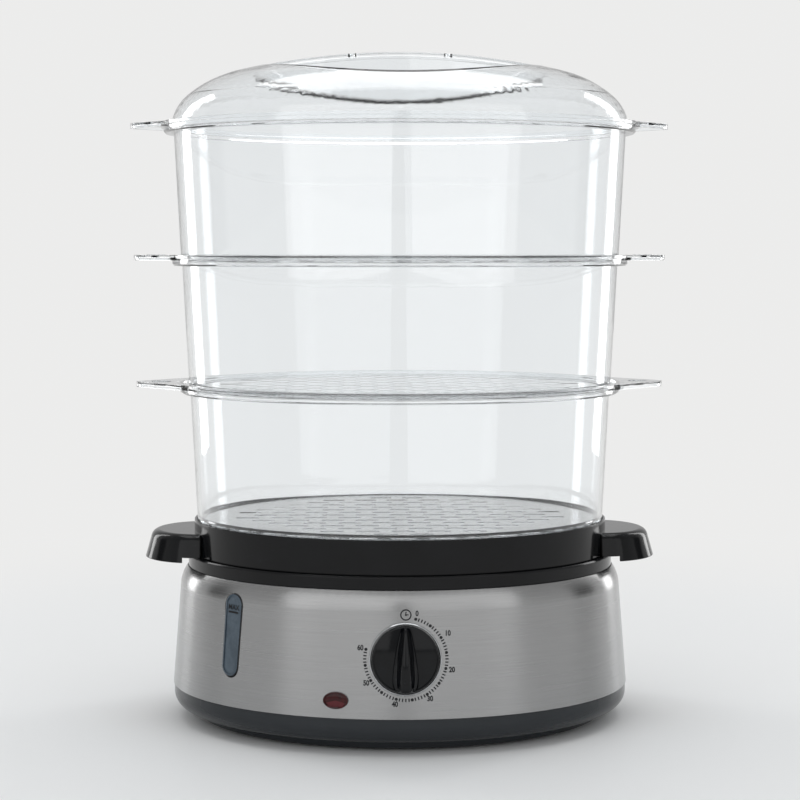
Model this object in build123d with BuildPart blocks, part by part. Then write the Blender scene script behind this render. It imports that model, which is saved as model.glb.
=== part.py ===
from build123d import *
from math import asin, cos, radians, sin
import os

os.makedirs("parts", exist_ok=True)

# Three-tier electric food steamer, in millimetres.
# The origin is on the table under the middle of the oval; +Z is up, -Y faces the user, +X is the
# user's right. Every oval is turned round first and then stretched in depth, so each half-width
# below is measured along X, and the half-depth along Y is depth_ratio times as long.

# ------------------------------------------------------------------ clearances and common stock
depth_ratio = 0.851
seat_gap = 0.3
fixed_gap = 0.15
running_gap = 0.05

# ------------------------------------------------------------------ bottom cover and feet
foot_pad_height = 2.0
foot_pad_radius = 6.5
foot_pad_edge = 0.8
foot_stem_radius = 2.0
foot_barb_overhang = 1.2
foot_barb_height = 2.0
foot_set_in = 30.3
foot_angle = 45.0
foot_socket_wall = 1.6
foot_ring_set_in = 14.8
foot_ring_flare = 1.5
foot_ring_width = 2.6
cover_underside = 6.5
cover_floor_thickness = 2.5
cover_height = 14.0
cover_set_in = 0.5
cover_wall = 2.4
cover_corner_radius = 9.0
vent_slot_length = 26.0
vent_slot_width = 3.0
vent_slot_pitch = 8.0
vent_slot_count = 7
vent_row_offset = 66.0
case_screw_radius = 1.75
case_screw_head_radius = 3.6
case_screw_head_height = 2.2
case_screw_length = 18.0
case_screw_set_in = 22.3
case_screw_angle = 25.0

# ------------------------------------------------------------------ steel band and housing
band_thickness = 0.7
band_bottom_half_width = 134.8
band_straight_height = 58.85
band_lean = 4.7
band_shoulder_rise = 10.7
band_shoulder_draw = 4.2
housing_wall = 2.3
rim_set_in = 0.3
rim_height = 7.6
rim_edge_radius = 0.8
tray_seat_width = 7.6
seat_wall_lean = 1.5
tank_wall = 2.5
tank_ledge_drop = 18.8
tank_ledge_width = 23.0
tank_wall_lean = 3.0
tank_floor_height = 31.0
tank_corner_radius = 4.0

# ------------------------------------------------------------------ heater
heater_pan_radius = 42.0
heater_pan_height = 3.6
heater_pan_edge = 1.0
heater_pan_rim_width = 6.0
heater_pan_dish = 0.8
heater_hole_gap = 1.5
heater_flange_radius = 58.5
heater_flange_thickness = 1.6
heater_seal_thickness = 1.2
heater_seal_width = 6.0
heater_screw_circle = 54.5
heater_screw_radius = 1.5
heater_screw_head_radius = 3.0
heater_screw_head_height = 2.0
heater_screw_length = 7.0
heater_screw_count = 4
heater_boss_radius = 4.2
heater_boss_height = 3.5
heater_boss_draft = 6.0
heater_screw_hole_depth = 5.0
element_ring_radius = 34.0
element_tube_radius = 3.2
element_turn = 330.0
element_pin_radius = 1.6
element_pin_length = 9.0
element_pin_set_in = 4.0
thermostat_radius = 9.5
thermostat_height = 5.0
thermostat_cap_radius = 6.5
thermostat_cap_height = 2.6
blade_width = 4.8
blade_length = 8.0
blade_thickness = 0.8
fuse_radius = 2.2
fuse_length = 13.0
fuse_offset = 18.0
fuse_lead_radius = 0.55
fuse_lead_length = 6.0

# ------------------------------------------------------------------ steam ring over the heater
steam_ring_foot_radius = 66.0
steam_ring_top_radius = 54.0
steam_ring_height = 43.0
steam_ring_foot_height = 5.0
steam_ring_wall = 2.0
steam_ring_neck_height = 4.0
steam_ring_arch_width = 18.0
steam_ring_arch_height = 6.0
steam_ring_arch_count = 4

# ------------------------------------------------------------------ timer, dial and knob
dial_above_cover = 33.1
knob_radius = 18.3
knob_lift = 1.0
knob_disc_thickness = 2.6
knob_dish_depth = 0.7
knob_grip_height = 7.2
knob_grip_draft = 9.0
knob_pointer_radius = 1.7
knob_pointer_reach = 17.4
knob_heel_radius = 6.3
knob_heel_reach = 17.6
knob_edge_radius = 0.6
knob_rim_width = 1.8
knob_rim_slope = 1.2
knob_skin = 1.0
knob_hub_radius = 5.6
bezel_outer_radius = 19.85
bezel_inner_radius = 18.75
bezel_height = 1.9
bezel_edge = 0.4
dial_hole_radius = 17.6
shaft_radius = 3.0
shaft_flat = 2.2
shaft_hole_gap = 1.2
shaft_reach = 5.6
timer_standoff = 5.0
timer_plate_width = 50.0
timer_plate_height = 32.0
timer_plate_thickness = 1.2
timer_plate_corner = 3.0
timer_can_radius = 19.5
timer_can_depth = 11.5
timer_lug_width = 16.0
timer_lug_height = 8.0
timer_shaft_depth = 6.0
bell_radius = 15.0
bell_depth = 4.6
bell_wall = 0.8
timer_screw_spacing = 26.0
timer_screw_radius = 1.45
timer_screw_head_radius = 2.8
timer_screw_head_height = 1.6
timer_post_radius = 3.8

# ------------------------------------------------------------------ neon light
neon_turn = 16.4
neon_above_cover = 10.1
neon_lens_half_width = 7.0
neon_lens_half_height = 4.65
neon_lens_proud = 0.9
neon_lens_edge_radius = 0.6
neon_sleeve_half_width = 5.6
neon_sleeve_half_height = 3.9
neon_sleeve_length = 13.0
neon_lamp_radius = 2.3
neon_lamp_length = 10.0
neon_lamp_tip_radius = 1.8

# ------------------------------------------------------------------ water window
window_turn = 46.8
window_above_cover = 40.0
window_length = 47.0
window_top_width = 13.4
window_bottom_width = 11.0
window_proud = 0.5
window_thickness = 2.6
gasket_width = 2.0
chamber_width = 9.0
chamber_wall = 2.0
chamber_reach = 40.0
chamber_low_end = -24.0
chamber_high_end = 13.0

# ------------------------------------------------------------------ mains entry
gland_above_cover = 12.5
cord_bore_radius = 3.8
gland_body_radius = 6.0
gland_flange_radius = 8.4
gland_flange_thickness = 2.6
gland_nut_thickness = 3.0
gland_nut_radius = 9.4
gland_thread_reach = 2.0
terminal_block_length = 36.0
terminal_block_width = 16.0
terminal_block_height = 11.0
terminal_block_corner = 2.0
terminal_block_x = -42.0
terminal_block_y = 60.0
terminal_pole_pitch = 11.0
terminal_row_spacing = 8.0
terminal_screw_radius = 1.8
terminal_screw_height = 2.4
terminal_screw_recess = 1.0

# ------------------------------------------------------------------ drip tray
tray_foot_set_in = 3.0
tray_lean = 0.8
tray_height = 19.2
tray_lip_thickness = 1.2
tray_ledge_drop = 1.5
tray_ledge_width = 7.6
tray_wall = 2.4
tray_gutter_depth = 9.4
tray_gutter_lean = 2.4
tray_gutter_corner = 3.0
tray_chimney_half_width = 54.0
tray_chimney_height = 18.6
handle_top_above_seat = 12.9
handle_drop = 2.9
handle_rim_gap = 1.4
handle_reach = 24.0
handle_root_depth = 10.5
handle_oval_set_in = 9.0
handle_half_width = 38.0
handle_wall = 2.5
handle_draft = 16.0
handle_edge_radius = 5.0

# ------------------------------------------------------------------ baskets
basket_wall = 2.2
basket_floor_thickness = 2.2
basket_tray_gap = 0.5
basket_draft = 0.049
basket_tier_step = 0.65
basket_corner_radius = 1.6
basket_heights = (75.8, 72.2, 74.5)
collar_depth = 6.2
collar_overhang = 5.8
collar_wall = 2.0
collar_edge = 1.0
flange_overhang = 1.6
flange_thickness = 2.0
ear_reaches = (24.5, 21.2, 18.15)
ear_half_angle = 48.0
ear_tip_radius = 10.0
ear_thickness = 3.0
ear_border = 3.0
ear_hollow_depth = 1.6
floor_slot_length = 13.0
floor_slot_width = 4.2
floor_slot_pitch_x = 20.0
floor_slot_pitch_y = 12.0
floor_margin = 16.0

# ------------------------------------------------------------------ lid
lid_height = 45.0
lid_rim_gap = 2.05
lid_wall = 2.2
crown_end_slope = 13.9
brow_radius = 65.6
brow_end_slope = 40.2
lid_shoulder_radius = 26.7
grip_half_thickness = 14.0
scoop_depth = 24.8
scoop_radius = 246.7
scoop_rise = 4.0
scoop_length = 150.0
lid_vent_radius = 2.6
lid_vent_x = 28.0

# ------------------------------------------------------------------ sizes that follow
cover_top = cover_underside + cover_height
cover_half_width = band_bottom_half_width - cover_set_in
foot_ring_half_width = cover_half_width - foot_ring_set_in
foot_circle_half_width = cover_half_width - foot_set_in
case_screw_half_width = cover_half_width - case_screw_set_in
band_bottom = cover_top + fixed_gap
band_shoulder_height = band_bottom + band_straight_height
band_shoulder_half_width = band_bottom_half_width - band_lean
band_top = band_shoulder_height + band_shoulder_rise
band_top_half_width = band_shoulder_half_width - band_shoulder_draw
rim_half_width = band_top_half_width - rim_set_in
rim_top = band_top + rim_height
tray_seat_half_width = rim_half_width - tray_seat_width
tank_ledge_height = rim_top - tank_ledge_drop
tank_ledge_half_width = tray_seat_half_width - tank_ledge_width
tank_floor_half_width = tank_ledge_half_width - tank_wall_lean
cover_floor_top = cover_underside + cover_floor_thickness
band_slope = band_lean / band_straight_height
skirt_inset = band_thickness + 2 * fixed_gap
skirt_depth = skirt_inset + housing_wall
tray_foot_height = rim_top + seat_gap
tray_foot_half_width = rim_half_width - tray_foot_set_in
tray_lip_top = tray_foot_height + tray_height
tray_lip_half_width = tray_foot_half_width - tray_lean
tray_lip_inner_half_width = tray_lip_half_width - tray_lip_thickness
tray_ledge_height = tray_lip_top - tray_ledge_drop
tray_ledge_inner_half_width = tray_lip_inner_half_width - tray_ledge_width
tray_floor_height = rim_top - tray_gutter_depth
tray_floor_half_width = tray_ledge_inner_half_width - tray_gutter_lean
tray_chimney_top = tray_floor_height + tray_chimney_height
handle_top = tray_foot_height + handle_top_above_seat
handle_bottom = tray_foot_height - handle_drop
handle_clear_of_rim = rim_half_width + handle_rim_gap
handle_tip = handle_clear_of_rim + handle_reach
handle_oval_centre = handle_clear_of_rim - handle_oval_set_in
handle_root = handle_clear_of_rim - handle_root_depth
tank_floor_underside = tank_floor_height - tank_wall
heater_flange_top = tank_floor_underside - heater_seal_thickness - 2 * fixed_gap
heater_flange_underside = heater_flange_top - heater_flange_thickness
heater_hole_radius = heater_pan_radius + heater_hole_gap


def band_half_width(height):
    """Half-width of the steel band's outside on its straight part."""
    return band_bottom_half_width - band_slope * (height - band_bottom)


def stretch_oval():
    """Stretch the round part in hand to the appliance's oval."""
    scale(by=(1, depth_ratio, 1))


def before_stretch(depth):
    """A length along Y, as it has to be drawn while the part is still round."""
    return depth / depth_ratio


def band_plane(turn, above_cover):
    """Plane on the steel's outside, its Z straight out; turn is 0 in front and 90 at the left side."""
    height = cover_top + above_cover
    half_width = band_half_width(height)
    x = -half_width * sin(radians(turn))
    y = -half_width * depth_ratio * cos(radians(turn))
    outward = Vector(x / half_width, y / (depth_ratio**2 * half_width), band_slope).normalized()
    level = Vector(-outward.Y, outward.X, 0).normalized()
    return Plane(origin=(x, y, height), x_dir=level, z_dir=outward)


def oval_point(half_width, angle):
    """Point on an oval, by the angle of the circle it is stretched from."""
    return (half_width * cos(radians(angle)), half_width * depth_ratio * sin(radians(angle)))


def four_fold(half_width, angle):
    """The same oval point in each of the four quarters."""
    x, y = oval_point(half_width, angle)
    return [(x, y), (-x, y), (-x, -y), (x, -y)]


def tapered_slot(top_radius, top_end, bottom_radius, bottom_end):
    """Two circles, one above the other, and the flat between their tangents."""
    top_y = top_end - top_radius
    bottom_y = bottom_radius - bottom_end
    lean = asin((bottom_radius - top_radius) / (top_y - bottom_y))
    with Locations((0, top_y)):
        Circle(top_radius)
    with Locations((0, bottom_y)):
        Circle(bottom_radius)
    tangent_points = [
        (top_radius * cos(lean), top_y + top_radius * sin(lean)),
        (bottom_radius * cos(lean), bottom_y + bottom_radius * sin(lean)),
    ]
    left_points = [(-x, y) for x, y in reversed(tangent_points)]
    Polygon(*tangent_points, *left_points, align=None)


def window_outline(margin):
    """Outline of the water window's lens, grown all round by margin."""
    half_length = window_length / 2 + margin
    tapered_slot(window_top_width / 2 + margin, half_length, window_bottom_width / 2 + margin, half_length)


def turning_plane(plane):
    """Plane that holds the axis of a dial-like piece: its Y runs straight out of the given plane."""
    return Plane(origin=plane.origin, x_dir=plane.x_dir, z_dir=-plane.y_dir)


foot_places = four_fold(foot_circle_half_width, foot_angle)
case_screw_places = four_fold(case_screw_half_width, case_screw_angle)
dial_plane = band_plane(0, dial_above_cover)
neon_plane = band_plane(neon_turn, neon_above_cover)
window_plane = band_plane(window_turn, window_above_cover)
gland_plane = band_plane(180, gland_above_cover)
timer_screw_places = [(-timer_screw_spacing / 2, 0), (timer_screw_spacing / 2, 0)]

# ------------------------------------------------------------------ bottom cover
# A shallow black dish: foot ring below, shadow groove, and the dark band under the steel.
with BuildPart() as bottom_cover:
    ring_bottom = foot_pad_height
    groove_height = cover_underside - foot_ring_flare
    with BuildSketch(Plane.XZ) as cover_profile:
        with BuildLine():
            outside = Polyline(
                (0, cover_underside),
                (foot_ring_half_width - foot_ring_width, cover_underside),
                (foot_ring_half_width - foot_ring_width, ring_bottom),
                (foot_ring_half_width, ring_bottom),
                (foot_ring_half_width + foot_ring_flare, groove_height),
                (foot_ring_half_width + foot_ring_flare, cover_underside),
                (cover_half_width - cover_corner_radius, cover_underside),
            )
            corner = JernArc(outside @ 1, (1, 0), cover_corner_radius, 90)
            Polyline(
                corner @ 1,
                (cover_half_width, cover_top),
                (cover_half_width - cover_wall, cover_top),
                (cover_half_width - cover_wall, cover_floor_top + cover_corner_radius - cover_wall),
                (cover_half_width - cover_corner_radius, cover_floor_top),
                (0, cover_floor_top),
                (0, cover_underside),
            )
        make_face()
    revolve(axis=Axis.Z)
    stretch_oval()
    with BuildSketch(Plane.XY.offset(ring_bottom)):
        with Locations(*foot_places):
            Circle(foot_pad_radius + fixed_gap + foot_socket_wall)
    extrude(amount=cover_underside - ring_bottom + fixed_gap)
    with BuildSketch(Plane.XY.offset(ring_bottom)):
        with Locations(*foot_places):
            Circle(foot_pad_radius + fixed_gap)
    extrude(amount=cover_floor_thickness, mode=Mode.SUBTRACT)
    with BuildSketch(Plane.XY.offset(ring_bottom)):
        with Locations(*foot_places):
            Circle(foot_stem_radius + fixed_gap)
        with Locations(*case_screw_places):
            Circle(case_screw_radius + 2 * fixed_gap)
        for row in (-vent_row_offset, vent_row_offset):
            with Locations((0, row)):
                with GridLocations(vent_slot_pitch, 0, vent_slot_count, 1):
                    SlotOverall(vent_slot_length, vent_slot_width, rotation=90)
    extrude(amount=cover_floor_top, mode=Mode.SUBTRACT)
bottom_cover.part.label = "bottom_cover"

# ------------------------------------------------------------------ rubber feet
# Push-in feet: a pad, a stem through the floor and a barb that holds it from inside.
with BuildPart() as rubber_feet:
    socket_roof = foot_pad_height + cover_floor_thickness - fixed_gap
    barb_foot = cover_floor_top + fixed_gap
    for x, y in foot_places:
        with BuildSketch(Plane(origin=(x, y, 0), x_dir=(1, 0, 0), z_dir=(0, -1, 0))):
            with BuildLine():
                Polyline(
                    (0, 0),
                    (foot_pad_radius - foot_pad_edge, 0),
                    (foot_pad_radius, foot_pad_edge),
                    (foot_pad_radius, socket_roof),
                    (foot_stem_radius, socket_roof),
                    (foot_stem_radius, barb_foot),
                    (foot_stem_radius + foot_barb_overhang, barb_foot),
                    (foot_stem_radius / 2, barb_foot + foot_barb_height),
                    (0, barb_foot + foot_barb_height),
                    close=True,
                )
            make_face()
        revolve(axis=Axis((x, y, 0), (0, 0, 1)))
rubber_feet.part.label = "rubber_feet"

# ------------------------------------------------------------------ case screws
with BuildPart() as case_screws:
    with BuildSketch(Plane.XY.offset(cover_underside - fixed_gap - case_screw_head_height)):
        with Locations(*case_screw_places):
            Circle(case_screw_head_radius)
    extrude(amount=case_screw_head_height)
    with BuildSketch(Plane.XY.offset(cover_underside - fixed_gap)):
        with Locations(*case_screw_places):
            Circle(case_screw_radius)
    extrude(amount=case_screw_length)
case_screws.part.label = "case_screws"

# ------------------------------------------------------------------ housing
# Black moulding that shows above the steel: skirt behind it, rim, and the wall the tray drops into.
with BuildPart() as housing:
    skirt_bottom = band_bottom
    skirt_top_half_width = band_top_half_width - skirt_inset
    seat_outer = tray_seat_half_width + tank_wall
    seat_foot = tank_ledge_height + fixed_gap
    with BuildSketch(Plane.XZ) as housing_profile:
        with BuildLine():
            skirt = Line(
                (band_bottom_half_width - skirt_inset, skirt_bottom),
                (band_shoulder_half_width - skirt_inset, band_shoulder_height),
            )
            shoulder = TangentArc(skirt @ 1, (skirt_top_half_width, band_top), tangent=skirt % 1)
            Polyline(
                shoulder @ 1,
                (skirt_top_half_width, band_top + fixed_gap),
                (rim_half_width, band_top + fixed_gap),
                (rim_half_width, rim_top - rim_edge_radius),
                (rim_half_width - rim_edge_radius, rim_top),
                (tray_seat_half_width, rim_top),
                (tray_seat_half_width - seat_wall_lean, seat_foot),
                (seat_outer - seat_wall_lean, seat_foot),
                (seat_outer, rim_top - tank_wall),
                (skirt_top_half_width - housing_wall, rim_top - tank_wall),
                (skirt_top_half_width - housing_wall, band_top),
                (band_shoulder_half_width - skirt_inset - housing_wall, band_shoulder_height),
                (band_bottom_half_width - skirt_inset - housing_wall, skirt_bottom),
                (band_bottom_half_width - skirt_inset, skirt_bottom),
            )
        make_face()
    revolve(axis=Axis.Z)
    stretch_oval()
    # posts behind the dial, and the openings through the skirt
    with BuildSketch(dial_plane.offset(-skirt_depth - timer_standoff + fixed_gap)):
        with Locations(*timer_screw_places):
            Circle(timer_post_radius)
    extrude(amount=timer_standoff)
    with BuildSketch(dial_plane.offset(-skirt_depth - timer_standoff)):
        Circle(shaft_radius + shaft_hole_gap)
        with Locations(*timer_screw_places):
            Circle(timer_screw_radius + fixed_gap)
    extrude(amount=skirt_depth + timer_standoff, mode=Mode.SUBTRACT)
    with BuildSketch(neon_plane.offset(-2 * skirt_depth)):
        Ellipse(neon_sleeve_half_width + fixed_gap, neon_sleeve_half_height + fixed_gap)
    extrude(amount=2 * skirt_depth, mode=Mode.SUBTRACT)
    with BuildSketch(window_plane.offset(-2 * skirt_depth)):
        window_outline(fixed_gap)
    extrude(amount=3 * skirt_depth, mode=Mode.SUBTRACT)
    with BuildSketch(gland_plane.offset(-2 * skirt_depth)):
        Circle(gland_body_radius + fixed_gap)
    extrude(amount=2 * skirt_depth, mode=Mode.SUBTRACT)
housing.part.label = "housing"

# ------------------------------------------------------------------ water tank
# Bowl welded by its ledge under the housing's inner wall, with the bosses the cover screws into.
with BuildPart() as water_tank:
    ledge_underside = tank_ledge_height - tank_wall
    with BuildSketch(Plane.XZ):
        with BuildLine():
            Polyline(
                (seat_outer - seat_wall_lean, tank_ledge_height),
                (tank_ledge_half_width, tank_ledge_height),
                (tank_floor_half_width, tank_floor_height + tank_corner_radius),
                (tank_floor_half_width - tank_corner_radius, tank_floor_height),
                (0, tank_floor_height),
                (0, tank_floor_underside),
                (tank_floor_half_width - tank_corner_radius, tank_floor_underside),
                (tank_floor_half_width + tank_wall, tank_floor_underside + tank_corner_radius),
                (tank_ledge_half_width + tank_wall, ledge_underside),
                (seat_outer - seat_wall_lean, ledge_underside),
                close=True,
            )
        make_face()
    revolve(axis=Axis.Z)
    stretch_oval()
    # round heater opening with blind screw bosses about it
    with BuildSketch(Plane.XY.offset(tank_floor_height - fixed_gap)):
        with PolarLocations(heater_screw_circle, heater_screw_count, start_angle=45):
            Circle(heater_boss_radius)
    extrude(amount=heater_boss_height + fixed_gap, taper=heater_boss_draft)
    with BuildSketch(Plane.XY.offset(tank_floor_underside)):
        Circle(heater_hole_radius)
    extrude(amount=2 * tank_wall, mode=Mode.SUBTRACT)
    with BuildSketch(Plane.XY.offset(tank_floor_underside)):
        with PolarLocations(heater_screw_circle, heater_screw_count, start_angle=45):
            Circle(heater_screw_radius + fixed_gap)
    extrude(amount=heater_screw_hole_depth, mode=Mode.SUBTRACT)
    # screw bosses down to the cover's floor
    with BuildSketch(Plane.XY.offset(cover_floor_top + fixed_gap)):
        with Locations(*case_screw_places):
            Circle(case_screw_radius + tank_wall)
    extrude(amount=ledge_underside - cover_floor_top)
    with BuildSketch(Plane.XY.offset(cover_floor_top)):
        with Locations(*case_screw_places):
            Circle(case_screw_radius + fixed_gap)
    extrude(amount=case_screw_length, mode=Mode.SUBTRACT)
    # sight chamber between the tank and the water window
    chamber_middle = (chamber_high_end + chamber_low_end) / 2
    chamber_length = chamber_high_end - chamber_low_end
    with BuildSketch(window_plane.offset(-chamber_reach)):
        with Locations((0, chamber_middle)):
            Rectangle(chamber_width + 2 * chamber_wall, chamber_length + 2 * chamber_wall)
    extrude(amount=chamber_reach - skirt_depth - fixed_gap)
    with BuildSketch(Plane.XY.offset(tank_floor_height + tank_wall)):
        Ellipse(tank_floor_half_width, tank_floor_half_width * depth_ratio)
    extrude(amount=tank_ledge_height - tank_floor_height - 2 * tank_wall, mode=Mode.SUBTRACT)
    with BuildSketch(window_plane.offset(-chamber_reach)):
        with Locations((0, chamber_middle)):
            Rectangle(chamber_width, chamber_length)
    extrude(amount=chamber_reach, mode=Mode.SUBTRACT)
water_tank.part.label = "water_tank"


# ------------------------------------------------------------------ steel band
# Sheet steel drawn in at the shoulder, with openings for the dial, light, window and cord.
with BuildPart() as steel_band:
    with BuildSketch(Plane.XZ):
        with BuildLine():
            straight = Line(
                (band_bottom_half_width, band_bottom),
                (band_shoulder_half_width, band_shoulder_height),
            )
            TangentArc(straight @ 1, (band_top_half_width, band_top), tangent=straight % 1)
            offset(amount=band_thickness, side=Side.LEFT)
        make_face()
    revolve(axis=Axis.Z)
    stretch_oval()
    with BuildSketch(dial_plane.offset(-skirt_depth)):
        Circle(dial_hole_radius)
    extrude(amount=2 * skirt_depth, mode=Mode.SUBTRACT)
    with BuildSketch(neon_plane.offset(-skirt_depth)):
        Ellipse(neon_sleeve_half_width + fixed_gap, neon_sleeve_half_height + fixed_gap)
    extrude(amount=2 * skirt_depth, mode=Mode.SUBTRACT)
    with BuildSketch(window_plane.offset(-skirt_depth)):
        window_outline(fixed_gap)
    extrude(amount=2 * skirt_depth, mode=Mode.SUBTRACT)
    with BuildSketch(gland_plane.offset(-skirt_depth)):
        Circle(gland_body_radius + fixed_gap)
    extrude(amount=2 * skirt_depth, mode=Mode.SUBTRACT)
steel_band.part.label = "steel_band"

# The band's outside as a solid block, grown by a gap, to shape what sits on the curved steel.
with BuildPart() as band_block:
    with BuildSketch(Plane.XZ):
        with BuildLine():
            Polyline(
                (0, band_bottom),
                (band_bottom_half_width + fixed_gap, band_bottom),
                (band_shoulder_half_width + fixed_gap, band_shoulder_height),
                (0, band_shoulder_height),
                close=True,
            )
        make_face()
    revolve(axis=Axis.Z)
    stretch_oval()

# ------------------------------------------------------------------ heater
# Cast plate that closes the tank's floor from below and boils the water above it.
with BuildPart() as heater_plate:
    pan_top = heater_flange_top + heater_pan_height
    with BuildSketch(Plane.XZ):
        with BuildLine():
            Polyline(
                (0, heater_flange_underside),
                (heater_flange_radius, heater_flange_underside),
                (heater_flange_radius, heater_flange_top),
                (heater_pan_radius, heater_flange_top),
                (heater_pan_radius, pan_top - heater_pan_edge),
                (heater_pan_radius - heater_pan_edge, pan_top),
                (heater_pan_radius - heater_pan_rim_width, pan_top),
                (heater_pan_radius - heater_pan_rim_width - heater_pan_dish, pan_top - heater_pan_dish),
                (0, pan_top - heater_pan_dish),
                close=True,
            )
        make_face()
    revolve(axis=Axis.Z)
    with BuildSketch(Plane.XY.offset(heater_flange_underside)):
        with PolarLocations(heater_screw_circle, heater_screw_count, start_angle=45):
            Circle(heater_screw_radius + fixed_gap)
    extrude(amount=heater_flange_thickness, mode=Mode.SUBTRACT)
heater_plate.part.label = "heater_plate"

with BuildPart() as heater_seal:
    with BuildSketch(Plane.XY.offset(heater_flange_top + fixed_gap)):
        Circle(heater_hole_radius + fixed_gap + heater_seal_width)
        Circle(heater_hole_radius + fixed_gap, mode=Mode.SUBTRACT)
    extrude(amount=heater_seal_thickness)
heater_seal.part.label = "heater_seal"

with BuildPart() as heater_screws:
    head_top = heater_flange_underside - fixed_gap
    with BuildSketch(Plane.XY.offset(head_top - heater_screw_head_height)):
        with PolarLocations(heater_screw_circle, heater_screw_count, start_angle=45):
            Circle(heater_screw_head_radius)
    extrude(amount=heater_screw_head_height)
    with BuildSketch(Plane.XY.offset(head_top)):
        with PolarLocations(heater_screw_circle, heater_screw_count, start_angle=45):
            Circle(heater_screw_radius)
    extrude(amount=heater_screw_length)
heater_screws.part.label = "heater_screws"

# Sheathed element: an open ring under the plate with a cold pin down from each end.
with BuildPart() as heating_element:
    element_height = heater_flange_underside - fixed_gap - element_tube_radius
    first_angle = 90 + (360 - element_turn) / 2
    with BuildLine(Plane.XY.offset(element_height)) as element_path:
        CenterArc((0, 0), element_ring_radius, first_angle, element_turn)
    with BuildSketch(Plane(origin=element_path.line @ 0, z_dir=element_path.line % 0)):
        Circle(element_tube_radius)
    sweep(path=element_path.line)
    with BuildSketch(Plane.XY.offset(element_height - element_pin_length)):
        for angle in (first_angle + element_pin_set_in, first_angle + element_turn - element_pin_set_in):
            with Locations(
                (element_ring_radius * cos(radians(angle)), element_ring_radius * sin(radians(angle)))
            ):
                Circle(element_pin_radius)
    extrude(amount=element_pin_length)
heating_element.part.label = "heating_element"

# Snap-action thermostat against the middle of the plate, and the one-shot fuse beside it.
with BuildPart() as thermostat:
    thermostat_top = heater_flange_underside - fixed_gap
    with BuildSketch(Plane.XY.offset(thermostat_top - thermostat_height)):
        Circle(thermostat_radius)
    extrude(amount=thermostat_height)
    with BuildSketch(Plane.XY.offset(thermostat_top - thermostat_height - thermostat_cap_height)):
        Circle(thermostat_cap_radius)
    extrude(amount=thermostat_cap_height)
    with BuildSketch(Plane.XY.offset(thermostat_top - thermostat_height)):
        with GridLocations(0, 2 * thermostat_radius, 1, 2):
            Rectangle(blade_width, blade_length)
    extrude(amount=blade_thickness)
thermostat.part.label = "thermostat"

with BuildPart() as thermal_fuse:
    fuse_axis_height = thermostat_top - fuse_radius
    with BuildSketch(Plane.XZ.offset(-fuse_length / 2)):
        with Locations((fuse_offset, fuse_axis_height)):
            Circle(fuse_radius)
    extrude(amount=fuse_length)
    with BuildSketch(Plane.XZ.offset(-fuse_length / 2 - fuse_lead_length)):
        with Locations((fuse_offset, fuse_axis_height)):
            Circle(fuse_lead_radius)
    extrude(amount=fuse_length + 2 * fuse_lead_length)
thermal_fuse.part.label = "thermal_fuse"

# ------------------------------------------------------------------ steam ring
# Loose ring that stands round the heater and sends the steam up; water enters by its arches.
with BuildPart() as steam_ring:
    ring_foot = tank_floor_height + seat_gap
    ring_neck = ring_foot + steam_ring_height - steam_ring_neck_height
    with BuildSketch(Plane.XZ):
        with BuildLine():
            Polyline(
                (steam_ring_foot_radius, ring_foot),
                (steam_ring_foot_radius, ring_foot + steam_ring_foot_height),
                (steam_ring_top_radius, ring_neck),
                (steam_ring_top_radius, ring_foot + steam_ring_height),
                (steam_ring_top_radius - steam_ring_wall, ring_foot + steam_ring_height),
                (steam_ring_top_radius - steam_ring_wall, ring_neck),
                (steam_ring_foot_radius - steam_ring_wall, ring_foot + steam_ring_foot_height),
                (steam_ring_foot_radius - steam_ring_wall, ring_foot),
                close=True,
            )
        make_face()
    revolve(axis=Axis.Z)
    for turn in range(steam_ring_arch_count):
        angle = turn * 360 / steam_ring_arch_count
        outward = Vector(cos(radians(angle)), sin(radians(angle)), 0)
        with BuildSketch(Plane(origin=(0, 0, ring_foot), x_dir=(outward.Y, -outward.X, 0), z_dir=outward)):
            Rectangle(steam_ring_arch_width, 2 * steam_ring_arch_height)
        extrude(amount=steam_ring_foot_radius + steam_ring_wall, mode=Mode.SUBTRACT)
steam_ring.part.label = "steam_ring"

# ------------------------------------------------------------------ timer behind the dial
plate_front = -skirt_depth - timer_standoff
can_front = plate_front - timer_plate_thickness - fixed_gap
can_back = can_front - timer_can_depth
bell_front = can_back - fixed_gap
screw_seat = -skirt_inset - fixed_gap

with BuildPart() as timer_plate:
    with BuildSketch(dial_plane.offset(plate_front - timer_plate_thickness)):
        RectangleRounded(timer_plate_width, timer_plate_height, timer_plate_corner)
        Circle(shaft_radius + running_gap, mode=Mode.SUBTRACT)
        with Locations(*timer_screw_places):
            Circle(timer_screw_radius + fixed_gap, mode=Mode.SUBTRACT)
    extrude(amount=timer_plate_thickness)
timer_plate.part.label = "timer_plate"

with BuildPart() as timer_can:
    with BuildSketch(dial_plane.offset(can_back)):
        Circle(timer_can_radius)
        with Locations((0, -timer_can_radius)):
            Rectangle(timer_lug_width, timer_lug_height)
    extrude(amount=timer_can_depth)
    with BuildSketch(dial_plane.offset(can_front)):
        Circle(shaft_radius + running_gap)
    extrude(amount=-timer_shaft_depth - seat_gap, mode=Mode.SUBTRACT)
timer_can.part.label = "timer_can"

with BuildPart() as timer_bell:
    with BuildSketch(turning_plane(dial_plane)):
        with BuildLine():
            Polyline(
                (0, bell_front),
                (bell_radius, bell_front),
                (bell_radius, bell_front - bell_depth),
                (bell_radius - bell_wall, bell_front - bell_depth),
                (bell_radius - bell_wall, bell_front - bell_wall),
                (0, bell_front - bell_wall),
                close=True,
            )
        make_face()
    revolve(axis=Axis(dial_plane.origin, dial_plane.z_dir))
timer_bell.part.label = "timer_bell"

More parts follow.
